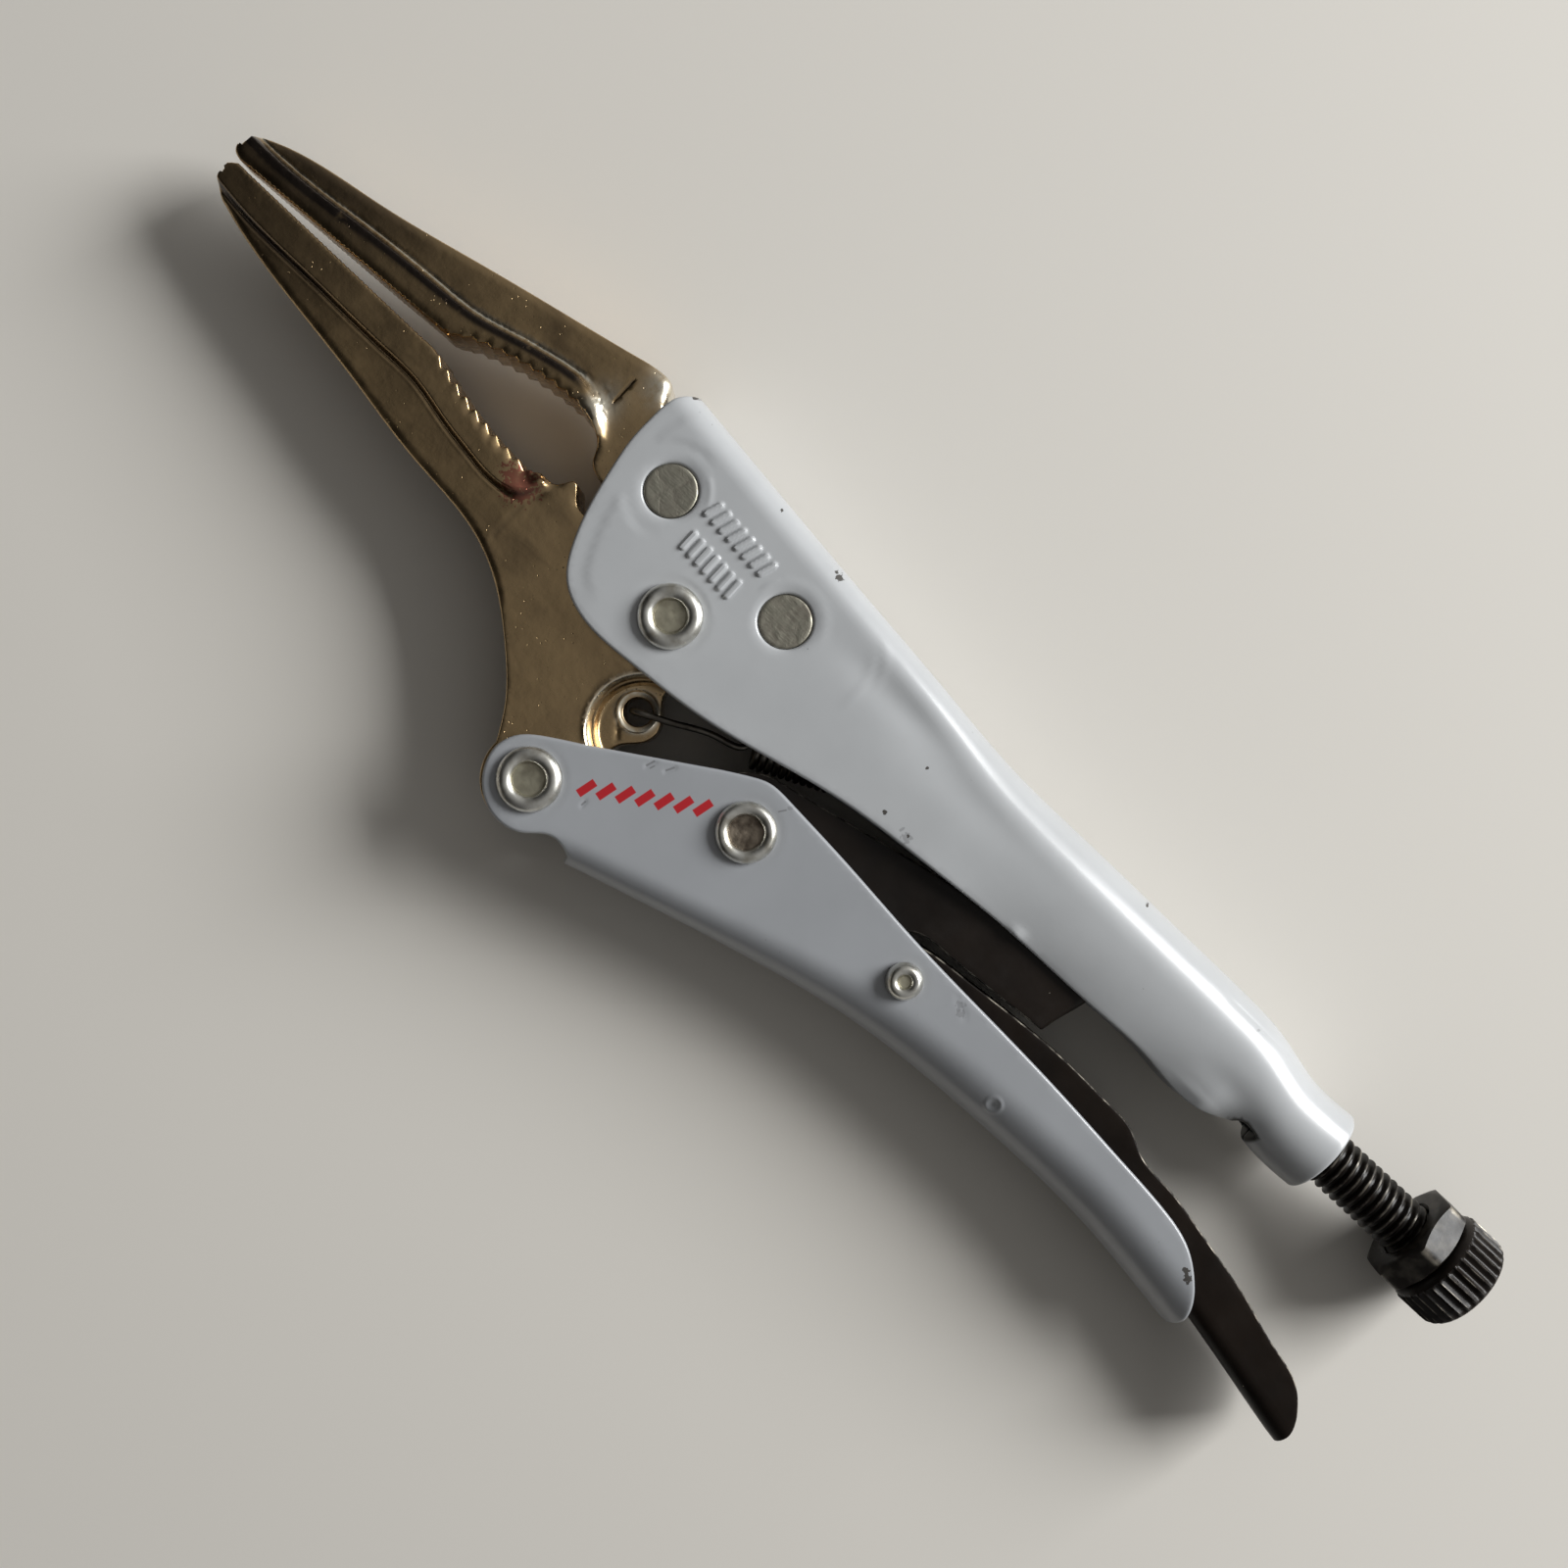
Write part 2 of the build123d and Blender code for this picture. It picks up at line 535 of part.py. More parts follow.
def make_adjusting_screw():
    """The threaded rod and its knob, one piece."""
    rod = along_x(SCREW_TIP_X, KNOB_START_X + KNOB_FRONT_EDGE, THREAD_RADIUS)
    tip = rod.edges().filter_by(GeomType.CIRCLE).sort_by(Axis.X)[0]
    rod = chamfer(tip, SCREW_TIP_EDGE)
    knob = along_x(KNOB_START_X, KNOB_END_X, KNOB_RADIUS)
    rims = knob.edges().filter_by(GeomType.CIRCLE).sort_by(Axis.X)
    knob = chamfer(rims[0], KNOB_FRONT_EDGE)
    rear = knob.edges().filter_by(GeomType.CIRCLE).sort_by(Axis.X)[-1]
    return rod + fillet(rear, KNOB_REAR_EDGE)


def make_lock_nut():
    """The thin hexagon nut against the knob."""
    corner = NUT_ACROSS_FLATS / math.sqrt(3)
    end = NUT_START_X + NUT_THICKNESS
    plane = Plane(origin=(NUT_START_X, SCREW_AXIS_Y, 0), x_dir=(0, 0, 1), z_dir=(1, 0, 0))
    hexagon = Rot(0, 0, 30 - NUT_TURN) * RegularPolygon(corner, 6)
    body = extrude(plane * hexagon, amount=NUT_THICKNESS)
    limit = along_x(NUT_START_X, end, corner + SEAT_CLEARANCE)
    limit = chamfer(limit.edges().filter_by(GeomType.CIRCLE), NUT_EDGE, corner - NUT_FACE_RADIUS)
    return (body & limit) - along_x(NUT_START_X - SHEET, end + SHEET, BORE_RADIUS)


def make_parts():
    """Every node of the tool, in the drawing frame."""
    return {
        "fixed_handle": make_fixed_handle(),
        "fixed_jaw": make_fixed_jaw(),
        "jaw_pin_front": make_jaw_pin(FRONT_PIN),
        "jaw_pin_rear": make_jaw_pin(REAR_PIN),
        "jaw_pivot_rivet": rivet(JAW_PIVOT, JAW_RIVET, HEAD_PROUD),
        "moving_jaw": make_moving_jaw(),
        "lever_handle": make_lever_handle(),
        "lever_rivet": rivet(LEVER_PIVOT, JAW_RIVET, HEAD_PROUD),
        "link_rivet": rivet(LINK_PIVOT, LINK_RIVET, HEAD_PROUD),
        "release_rivet": rivet(RELEASE_PIVOT, SMALL_RIVET, SMALL_HEAD_PROUD),
        "toggle_link": make_toggle_link(),
        "release_lever": make_release_lever(),
        "return_spring": make_return_spring(),
        "adjusting_screw": make_adjusting_screw(),
        "lock_nut": make_lock_nut(),
    }


def frame_shift(parts):
    """The move that puts the origin under the middle of the whole tool."""
    boxes = [part.bounding_box() for part in parts.values()]
    low = [min(tuple(box.min)[axis] for box in boxes) for axis in range(3)]
    high = [max(tuple(box.max)[axis] for box in boxes) for axis in range(3)]
    return Vector(-(low[0] + high[0]) / 2, -(low[1] + high[1]) / 2, -low[2])


def main():
    """Write every node as its own STEP file."""
    parts = make_parts()
    shift = frame_shift(parts)
    os.makedirs("parts", exist_ok=True)
    for name, part in parts.items():
        export_step(Pos(*shift) * part, f"parts/{name}.step")


if __name__ == "__main__":
    main()
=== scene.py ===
"""Long-nose locking pliers on their side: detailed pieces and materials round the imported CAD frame.

Lengths here are in millimetres about the main jaw pivot (+X along the adjusting screw, +Y toward the
fixed handle, +Z up). add_piece() turns them into metres in the row frame.
"""

import math

import bpy
import numpy as np
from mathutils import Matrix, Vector
from mathutils.geometry import delaunay_2d_cdt
from mathutils.kdtree import KDTree


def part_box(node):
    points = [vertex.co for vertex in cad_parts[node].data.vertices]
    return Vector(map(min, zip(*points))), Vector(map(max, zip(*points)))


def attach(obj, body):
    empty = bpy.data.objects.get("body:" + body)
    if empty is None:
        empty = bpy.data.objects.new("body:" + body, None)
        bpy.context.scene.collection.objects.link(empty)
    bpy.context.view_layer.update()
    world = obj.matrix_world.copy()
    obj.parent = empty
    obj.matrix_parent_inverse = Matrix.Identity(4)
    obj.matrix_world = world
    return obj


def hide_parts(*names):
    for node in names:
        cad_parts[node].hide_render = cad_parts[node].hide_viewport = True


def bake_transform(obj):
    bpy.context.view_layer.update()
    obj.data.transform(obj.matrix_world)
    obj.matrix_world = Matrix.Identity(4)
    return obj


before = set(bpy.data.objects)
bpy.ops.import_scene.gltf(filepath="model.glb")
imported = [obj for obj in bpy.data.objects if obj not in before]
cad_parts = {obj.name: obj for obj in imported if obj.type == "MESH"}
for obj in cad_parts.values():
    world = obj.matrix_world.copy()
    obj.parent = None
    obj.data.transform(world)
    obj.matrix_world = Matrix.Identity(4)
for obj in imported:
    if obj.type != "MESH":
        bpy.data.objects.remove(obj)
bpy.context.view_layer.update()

MM = 0.001


def middle(node):
    """The middle of a CAD node's box, in the row frame."""
    low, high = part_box(node)
    return (low + high) / 2


ORIGIN = np.array([*middle("jaw_pivot_rivet").xy, middle("fixed_handle").z])


def in_row_frame(x, y, z=0.0):
    """A place on the tool, given in millimetres, in the row frame."""
    return tuple(ORIGIN + MM * np.array([x, y, z]))


# ---------------------------------------------------------------- dimensions
JAW_PIVOT = (0.0, 0.0)
LEVER_PIVOT = (0.72, -21.33)
LINK_PIVOT = (20.05, -10.57)
RELEASE_PIVOT = (41.55, -10.7)
AXIS_Y = 5.3
SPRING_EYE = (3.8, -9.2)
FRONT_PIN = (-8.45, 9.2)
REAR_PIN = (8.7, 7.4)
SPRING_ANCHOR = (35.2, 5.6)
CHEEK = 5.5
SHEET, RELEASE_SHEET, LINK_SHEET = 1.5, 1.2, 1.3
LINK_ROOM = 3.85
LINK_BOSS = 6.0
BARREL_START, BARREL_END, BARREL_RADIUS = 78.35, 85.2, 4.8

# Stations of a folded sheet: place along it, height of its spine, half width, radius of its bends.
FIXED_STATIONS = [
    (-17.0, 18.75, 5.5, 3.0), (-5.4, 17.24, 5.5, 3.0), (4.8, 15.92, 5.5, 3.0), (14.9, 14.7, 5.5, 3.0),
    (25.1, 13.53, 5.5, 3.5), (35.2, 12.4, 5.5, 4.4), (46.0, 12.15, 5.5, 4.8), (60.6, 11.92, 5.5, 5.0),
    (69.0, 11.75, 5.45, 4.95), (74.3, 11.25, 5.2, 4.8), (79.2, 10.15, 4.8, 4.75), (85.2, 10.1, 4.8, 4.78),
]
FIXED_EDGE = [
    (-12.9, 18.4), (-14.25, 16.7), (-14.85, 13.5), (-14.85, 10.0), (-14.4, 7.0), (-13.6, 3.2),
    (-12.2, -1.0), (-10.0, -4.4), (-6.5, -6.0), (0.0, -6.1), (8.0, -5.4), (15.0, -4.05),
    (25.0, -1.85), (35.0, -0.8), (46.0, -0.1), (57.0, 0.0), (65.0, 0.0), (69.6, -0.5),
    (73.4, 0.1), (75.8, 1.2),
]
LEVER_STATIONS = [
    (4.0, -26.8, 5.5, 3.0), (15.0, -23.6, 5.5, 3.2), (30.0, -19.55, 5.5, 3.9), (40.4, -17.42, 5.5, 4.5),
    (50.5, -16.5, 5.5, 4.9), (60.6, -16.2, 5.5, 5.0), (70.8, -16.4, 5.5, 5.0), (80.9, -17.6, 5.5, 4.9),
    (90.0, -19.0, 5.5, 4.8),
]
LEVER_BOSS_EDGE = [
    (8.6, -24.65), (7.5, -24.1), (6.4, -24.0), (5.4, -24.4), (3.5, -25.9), (1.2, -26.45),
    (-1.0, -25.9), (-2.6, -24.7), (-3.6, -23.1), (-4.0, -21.3), (-3.3, -19.1), (-1.0, -17.1),
    (2.5, -15.0),
]
LEVER_TOP_EDGE = [
    (14.0, -7.7), (16.8, -6.1), (18.3, -5.45), (21.0, -5.35), (30.0, -6.05), (40.0, -7.05),
    (50.0, -7.65), (60.0, -8.25), (70.0, -9.15), (76.0, -9.8), (80.0, -10.85), (83.0, -13.0),
    (84.9, -15.6), (85.3, -17.0), (84.9, -18.4),
]
RELEASE_STATIONS = [
    (36.0, -13.9, 3.5, 1.8), (45.0, -13.7, 3.5, 1.8), (60.0, -13.5, 3.5, 1.8), (75.0, -14.2, 3.5, 1.8),
    (86.1, -16.2, 3.5, 1.8), (96.8, -18.55, 3.5, 1.8), (106.0, -20.6, 3.5, 1.8),
]
RELEASE_TOP_EDGE = [
    (38.5, -9.6), (38.9, -8.2), (40.6, -7.2), (45.2, -6.55), (50.3, -6.1), (55.3, -5.75),
    (60.4, -5.65), (65.4, -5.85), (68.5, -6.2), (71.0, -7.4), (75.5, -8.05), (80.6, -9.0),
    (88.9, -10.9), (93.8, -12.4), (98.0, -13.7), (99.9, -15.4), (101.1, -17.8), (101.0, -19.3),
]
LINK_TOP_EDGE = [(18.9, -4.68), (27.0, -2.95), (35.1, -1.17), (46.0, 1.7), (52.0, 5.2), (55.4, 8.0)]
LINK_REAR_EDGE = [(57.2, 7.0), (57.4, 5.3), (57.3, 2.5), (56.85, 0.0), (56.0, -2.8), (55.6, -4.4)]
LINK_LOWER_EDGE = [
    (54.9, -5.05), (50.0, -5.4), (43.0, -5.85), (39.6, -6.3), (37.4, -7.8), (34.0, -10.6),
    (28.0, -14.1), (22.1, -16.21),
]
MOVING_OUTER_EDGE = [
    (-62.5, 0.15), (-60.0, -0.6), (-50.0, -2.6), (-40.0, -4.15), (-30.0, -5.85), (-20.0, -7.3),
    (-14.5, -10.0), (-10.3, -13.4), (-6.3, -17.75), (-4.45, -21.0),
]
MOVING_BACK_EDGE = [
    (5.6, -19.6), (4.6, -16.5), (4.75, -12.9), (6.3, -11.1), (6.65, -9.5), (5.8, -7.8),
    (4.7, -6.4), (4.6, -3.4),
]
MOVING_LUG = [(-20.0, 1.3), (-19.2, 1.75), (-17.8, 1.85), (-16.3, 3.5), (-14.8, 2.1), (-12.5, 1.7)]
MOVING_PAD_EDGE = [
    (-64.2, 1.3), (-60.0, 0.75), (-50.0, 0.45), (-40.0, 0.2), (-35.0, 0.05), (-30.0, -1.0),
    (-26.0, -1.65), (-22.0, -1.95), (-19.6, -1.1), (-18.4, 1.0),
]
FIXED_OUTER_EDGE = [
    (-63.9, 7.6), (-62.0, 8.35), (-50.0, 10.75), (-40.0, 12.8), (-30.0, 14.9), (-20.0, 16.95),
    (-17.6, 17.4), (-15.9, 17.2), (-15.2, 16.0),
]
FIXED_PAD_EDGE = [
    (-64.3, 7.15), (-60.0, 7.1), (-50.0, 7.9), (-40.0, 8.6), (-35.0, 9.0), (-30.0, 10.2),
    (-26.0, 11.05), (-22.0, 11.4), (-19.4, 10.6), (-17.4, 8.4),
]
FIXED_THROAT_EDGE = [(-20.2, 9.2), (-18.4, 8.6), (-17.1, 7.5), (-16.3, 6.0), (-14.6, 5.2)]


# ---------------------------------------------------------------- curves
SAME_PLACE = 0.02


def cubic(knots, values):
    """Second derivatives of the smooth curve through the values at the knots."""
    gap = np.diff(knots)
    count = len(knots)
    system = np.eye(count)
    right = np.zeros((count, values.shape[1]))
    for i in range(1, count - 1):
        system[i, i - 1:i + 2] = gap[i - 1], 2 * (gap[i - 1] + gap[i]), gap[i]
        right[i] = 6 * ((values[i + 1] - values[i]) / gap[i] - (values[i] - values[i - 1]) / gap[i - 1])
    return np.linalg.solve(system, right)


def along(knots, values, at):
    """The smooth curve through the values at the knots, read at the given places."""
    knots, values = np.asarray(knots, float), np.asarray(values, float)
    values = values.reshape(len(knots), -1)
    bend = cubic(knots, values)
    at = np.clip(np.asarray(at, float), knots[0], knots[-1])
    k = np.clip(np.searchsorted(knots, at, side="right") - 1, 0, len(knots) - 2)
    gap = (knots[k + 1] - knots[k])[:, None]
    a, b = (knots[k + 1] - at)[:, None], (at - knots[k])[:, None]
    found = (bend[k] * a ** 3 + bend[k + 1] * b ** 3) / (6 * gap)
    found += (values[k] / gap - bend[k] * gap / 6) * a
    return found + (values[k + 1] / gap - bend[k + 1] * gap / 6) * b


def travelled(points):
    """Distance along a run of points, from its start to each of them."""
    return np.concatenate([[0.0], np.cumsum(np.linalg.norm(np.diff(points, axis=0), axis=1))])


def spline(points, step=0.35):
    """Even points along the smooth curve through the given ones."""
    points = np.array(points, float)
    knots = travelled(points)
    fine = along(knots, points, np.linspace(0, knots[-1], 60 * len(points)))
    run = travelled(fine)
    even = np.linspace(0, run[-1], max(2, round(run[-1] / step)) + 1)
    return np.stack([np.interp(even, run, fine[:, axis]) for axis in range(fine.shape[1])], 1)


def polyline(points, step=0.35):
    """Points along straight runs, keeping the corners."""
    made = [np.array(points[0], float)]
    for start, end in zip(points, points[1:]):
        start, end = np.array(start, float), np.array(end, float)
        count = max(1, math.ceil(np.linalg.norm(end - start) / step))
        made += [start + (end - start) * i / count for i in range(1, count + 1)]
    return np.array(made)


def circle(centre, radius, count=64, start=0.0, sweep=2 * math.pi):
    """Points round a circle, the last one short of the first."""
    turn = start + sweep * np.arange(count) / count
    return np.stack([centre[0] + radius * np.cos(turn), centre[1] + radius * np.sin(turn)], 1)


def joined(*runs):
    """Runs of points as one closed loop, with repeated points dropped."""
    points = np.vstack(runs)
    return points[np.linalg.norm(points - np.roll(points, 1, axis=0), axis=1) > SAME_PLACE]


def joined_open(*runs):
    """Runs of points end to end, with repeated points dropped."""
    points = np.vstack(runs)
    keep = np.concatenate([[True], np.linalg.norm(np.diff(points, axis=0), axis=1) > SAME_PLACE])
    return points[keep]


def smooth(low, high, value):
    """0 on low's side, 1 on high's side, and an even curve between them."""
    t = np.clip((value - low) / (high - low), 0, 1)
    return t * t * (3 - 2 * t)


def beside(line, offsets):
    """Copies of a line of points, each shifted sideways by one of the offsets."""
    run = np.gradient(line, axis=0)
    side = np.stack([-run[:, 1], run[:, 0]], 1) / np.linalg.norm(run, axis=1)[:, None]
    return np.vstack([line + side * offset for offset in offsets])


def bell(distance, width):
    """1 at no distance, falling off to nothing over a few widths."""
    return np.exp(-((distance / width) ** 2))


def away_from(points, place, size=1.0):
    """Distance from each point to a place, in sizes."""
    return np.linalg.norm((points - place) / size, axis=1)


def bearing(point, centre):
    """Angle of a point as seen from the centre."""
    return math.atan2(point[1] - centre[1], point[0] - centre[0])


def to_segment(points, start, end):
    """Distance from each point to the segment from start to end."""
    start, end = np.asarray(start, float), np.asarray(end, float)
    run = end - start
    share = ((points - start) * run).sum(-1) / np.maximum((run * run).sum(-1), 1e-12)
    return np.linalg.norm(points - start - np.clip(share, 0, 1)[..., None] * run, axis=-1)


def rough(points, scale, seed):
    """Smooth pseudo-random heights between -1 and 1, made of waves in fixed directions."""
    draw = np.random.default_rng(seed)
    total = np.zeros(len(points))
    waves = 14
    for _ in range(waves):
        turn, phase = draw.uniform(0, 2 * math.pi, 2)
        reach = scale * draw.uniform(0.7, 1.9)
        wave = points[:, 0] * math.cos(turn) + points[:, 1] * math.sin(turn)
        total += np.sin(2 * math.pi * wave / reach + phase)
    return total / (waves / 2)


# ---------------------------------------------------------------- meshes
def nearest(points, targets):
    """Index of the target nearest to each point, and how far away it is."""
    tree = KDTree(len(targets))
    for i, (x, y) in enumerate(targets):
        tree.insert((x, y, 0), i)
    tree.balance()
    found = [tree.find((x, y, 0)) for x, y in points]
    return np.array([index for _, index, _ in found], int), np.array([reach for _, _, reach in found])


def enclosed(points, start, end):
    """True for each point inside the loops whose edges run from start to end."""
    inside = np.zeros(len(points), bool)
    for i, (x, y) in enumerate(points):
        cross = (start[:, 1] > y) != (end[:, 1] > y)
        a, b = start[cross], end[cross]
        at = a[:, 0] + (y - a[:, 1]) * (b[:, 0] - a[:, 0]) / (b[:, 1] - a[:, 1])
        inside[i] = (at > x).sum() % 2 == 1
    return inside


class Region:
    """A flat region triangulated with rings of points along its rim, for rounded edges."""

    def __init__(self, loops, spacing, edge, patches=(), lines=None):
        self.loops = [self.turned(loop, 1 if i == 0 else -1) for i, loop in enumerate(loops)]
        self.rim = np.vstack(self.loops)
        self.after, self.before = self.neighbours()
        run = self.rim[self.after] - self.rim
        self.normal = np.stack([-run[:, 1], run[:, 0]], 1)
        self.normal /= np.linalg.norm(self.normal, axis=1)[:, None]
        self.inward = self.normal + self.normal[self.before]
        self.inward /= np.maximum(np.linalg.norm(self.inward, axis=1), 1e-6)[:, None]
        self.triangulate(spacing, edge, patches, lines)

    @staticmethod
    def turned(loop, sense):
        """The loop, anticlockwise for sense 1 and clockwise for -1."""
        x, y = loop[:, 0], loop[:, 1]
        area = (x * np.roll(y, -1) - y * np.roll(x, -1)).sum()
        return loop if area * sense > 0 else loop[::-1]

    def neighbours(self):
        """Index of the rim point after and before each one, round its own loop."""
        after = np.arange(len(self.rim)) + 1
        before = np.arange(len(self.rim)) - 1
        self.index = []
        start = 0
        for loop in self.loops:
            end = start + len(loop)
            after[end - 1], before[start] = start, end - 1
            self.index.append(np.arange(start, end))
            start = end
        return after, before

    def gap(self, points):
        """Distance from the rim, negative outside the region."""
        near, _ = nearest(points, self.rim)
        a, b, c = self.rim[self.before[near]], self.rim[near], self.rim[self.after[near]]
        back, ahead = to_segment(points, a, b), to_segment(points, b, c)
        facing = np.where((back < ahead)[:, None], self.normal[self.before[near]], self.normal[near])
        tie = np.abs(back - ahead) < 1e-9
        facing = np.where(tie[:, None], self.inward[near], facing)
        side = np.sign(((points - b) * facing).sum(1))
        return np.minimum(back, ahead) * np.where(side == 0, 1, side)

    def grid(self, spacing, edge, patches):
        """Points on a square grid, finer inside the patches."""
        low, high = self.rim.min(0), self.rim.max(0)
        sets = [(low[0], low[1], high[0], high[1], spacing), *patches]
        made = []
        for i, (x0, y0, x1, y1, pitch) in enumerate(sets):
            x, y = np.meshgrid(np.arange(x0, x1, pitch), np.arange(y0, y1, pitch))
            points = np.stack([x.ravel(), y.ravel()], 1)
            margin = 0.4 * pitch
            for a0, b0, a1, b1, _ in sets[i + 1:]:
                out = (points[:, 0] < a0 - margin) | (points[:, 0] > a1 + margin)
                out |= (points[:, 1] < b0 - margin) | (points[:, 1] > b1 + margin)
                points = points[out]
            made.append(points[self.gap(points) > edge + 0.45 * pitch])
        return made

    def triangulate(self, spacing, edge, patches, lines):
        """Sets points, their distance from the rim, and the triangles between them."""
        sets = [self.rim]
        for angle in (22.5, 45.0, 67.5, 90.0):
            reach = edge * (1 - math.cos(math.radians(angle)))
            ring = self.rim + self.inward * reach
            sets.append(ring[self.gap(ring) > 0.85 * reach])
        grid = self.grid(spacing, edge, patches)
        if lines is not None:
            lines = lines[self.gap(lines) > edge + 0.08]
            grid = [part[nearest(part, lines)[1] > 0.16] for part in grid] + [lines]
        points = np.vstack(sets + grid)
        edges = list(zip(range(len(self.rim)), self.after.tolist()))
        made = delaunay_2d_cdt([Vector(p) for p in points], edges, [], 0, 1e-7, True)
        source = np.array([ids[0] if ids else -1 for ids in made[3]])
        triangles = source[np.array(made[2], int)]
        triangles = triangles[(triangles >= 0).all(1)]
        a, b, c = (points[triangles[:, k]] for k in range(3))
        area = (b - a)[:, 0] * (c - a)[:, 1] - (b - a)[:, 1] * (c - a)[:, 0]
        triangles[area < 0] = triangles[area < 0][:, ::-1]
        triangles = triangles[np.abs(area) > 1e-9]
        on_rim = (triangles < len(self.rim)).all(1)
        centre = points[triangles[on_rim]].mean(1)
        keep = np.ones(len(triangles), bool)
        keep[np.flatnonzero(on_rim)] = enclosed(centre, self.rim, self.rim[self.after])
        self.points, self.triangles = points, triangles[keep]
        self.distance = np.concatenate([np.zeros(len(self.rim)), self.gap(points[len(self.rim):])])
        self.distance = np.maximum(self.distance, 0)

    def skin(self, front, back, flip=False):
        """Vertices and faces of the closed skin between front and back places of the points."""
        count = len(self.points)
        faces = np.vstack([self.triangles, self.triangles[:, ::-1] + count])
        walls = [np.stack([i, i + count, np.roll(i, -1) + count, np.roll(i, -1)], 1) for i in self.index]
        walls = np.vstack(walls)
        if flip:
            faces, walls = faces[:, ::-1], walls[:, ::-1]
        return np.vstack([front, back]), faces.tolist() + walls.tolist()

    def plate(self, z):
        """The skin of a flat piece with its upper side at z and its lower side at -z."""
        return self.skin(np.column_stack([self.points, z]), np.column_stack([self.points, -z]))


def rounded(distance, edge):
    """How far a surface drops at a distance from a rounded edge."""
    reach = edge - np.minimum(distance, edge)
    return edge - np.sqrt(np.maximum(edge * edge - reach * reach, 0))


def sides(rows, count):
    """Faces between rings of points, each ring joined to the next."""
    i, j = np.meshgrid(np.arange(rows - 1), np.arange(count), indexing="ij")
    a, b = (i * count + j).ravel(), (i * count + (j + 1) % count).ravel()
    return np.stack([a, a + count, b + count, b], 1)


def capped(rings, ends):
    """Vertices and faces of the skin through rings of points, closed by a point at each end."""
    rows, count = rings.shape[:2]
    first, last_ring = rows * count, (rows - 1) * count
    faces = sides(rows, count).tolist()
    faces += [[first, k, (k + 1) % count] for k in range(count)]
    faces += [[first + 1, last_ring + (k + 1) % count, last_ring + k] for k in range(count)]
    return np.vstack([rings.reshape(-1, 3), ends]), faces


def lathe(profile, count=96, spin=None):
    """Vertices and faces of (radius, height) points turned about the Z axis, closed at both ends."""
    profile = np.array(profile, float)
    turn = 2 * math.pi * np.arange(count) / count
    radius = np.repeat(profile[:, 0], count).reshape(-1, count)
    if spin is not None:
        radius = spin(radius, turn, profile)
    height = np.repeat(profile[:, 1], count).reshape(-1, count)
    rings = np.stack([radius * np.cos(turn), radius * np.sin(turn), height], 2)
    return capped(rings, [[0, 0, profile[0, 1]], [0, 0, profile[-1, 1]]])



def round_profile(points, radius, count=5):
    """The run of points with its inner corners rounded by arcs of about the given radius."""
    points = [np.array(p, float) for p in points]
    made = [points[0]]
    for before, corner, after in zip(points, points[1:], points[2:]):
        a, b = before - corner, after - corner
        reach = min(radius, 0.45 * np.linalg.norm(a), 0.45 * np.linalg.norm(b))
        start, end = corner + a / np.linalg.norm(a) * reach, corner + b / np.linalg.norm(b) * reach
        for t in np.linspace(0, 1, count):
            made.append(start * (1 - t) ** 2 + 2 * corner * t * (1 - t) + end * t * t)
    made.append(points[-1])
    return np.array(made)


def tube(path, radius, count=14):
    """Vertices and faces of round wire along a run of 3-D points."""
    heading = np.gradient(path, axis=0)
    heading /= np.linalg.norm(heading, axis=1)[:, None]
    across = np.cross(heading[0], (0.31, 0.52, 0.79))
    turn = 2 * math.pi * np.arange(count) / count
    rings = []
    for place, ahead in zip(path, heading):
        across = across - ahead * (across @ ahead)
        across /= np.linalg.norm(across)
        other = np.cross(ahead, across)
        rings.append(place + radius * (np.cos(turn)[:, None] * across + np.sin(turn)[:, None] * other))
    points, faces = capped(np.array(rings), [path[0], path[-1]])
    return points, [[face[0], *face[:0:-1]] for face in faces]



def merged(*skins):
    """Several (vertices, faces) as one."""
    points, faces, start = [], [], 0
    for vertices, polygons in skins:
        points.append(np.asarray(vertices))
        faces += [[i + start for i in polygon] for polygon in polygons]
        start += len(vertices)
    return np.vstack(points), faces


def moved(skin, offset):
    """The skin shifted by an offset."""
    return np.asarray(skin[0]) + np.array(offset, float), skin[1]


def onto_x(skin):
    """A skin made about Z, laid along X on the screw's axis; Y stays across and Z becomes X."""
    x, y, z = np.asarray(skin[0]).T
    return np.stack([z, AXIS_Y + x, y], 1), skin[1]


SHARP_ANGLE = 38.0


def add_piece(name, node, material, skin, body=None, inlay=None, wear_and_painted_light=None):
    """Makes the object, hides the CAD node it stands for, and rides it on a body if one is given.

    inlay is a second material and a test on points for where it shows. wear_and_painted_light is a number at
    each point,
    for finishes that read it: real wear on some pieces, painted shade and painted glints on others.
    """
    mesh = bpy.data.meshes.new(name)
    mesh.from_pydata((ORIGIN + MM * np.asarray(skin[0])).tolist(), [], skin[1])
    mesh.shade_smooth()
    mesh.set_sharp_from_angle(angle=math.radians(SHARP_ANGLE))
    mesh.materials.append(material)
    if inlay:
        mesh.materials.append(inlay[0])
        marked = inlay[1](np.asarray(skin[0]))
        for polygon in mesh.polygons:
            polygon.material_index = int(all(marked[i] for i in polygon.vertices))
    if wear_and_painted_light is not None:
        layer = mesh.color_attributes.new("wear_and_painted_light", "FLOAT_COLOR", "POINT")
        layer.data.foreach_set("color", np.repeat(wear_and_painted_light, 4).astype(np.float32))
    piece = bpy.data.objects.new(name, mesh)
    bpy.context.scene.collection.objects.link(piece)
    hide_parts(node)
    if body:
        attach(piece, body)
    return piece


def add_with_layer(name, node, material, made, body):
    """Adds a piece whose skin comes with its layer of wear and painted light."""
    skin, wear_and_painted_light = made
    add_piece(name, node, material, skin, body, wear_and_painted_light=wear_and_painted_light)


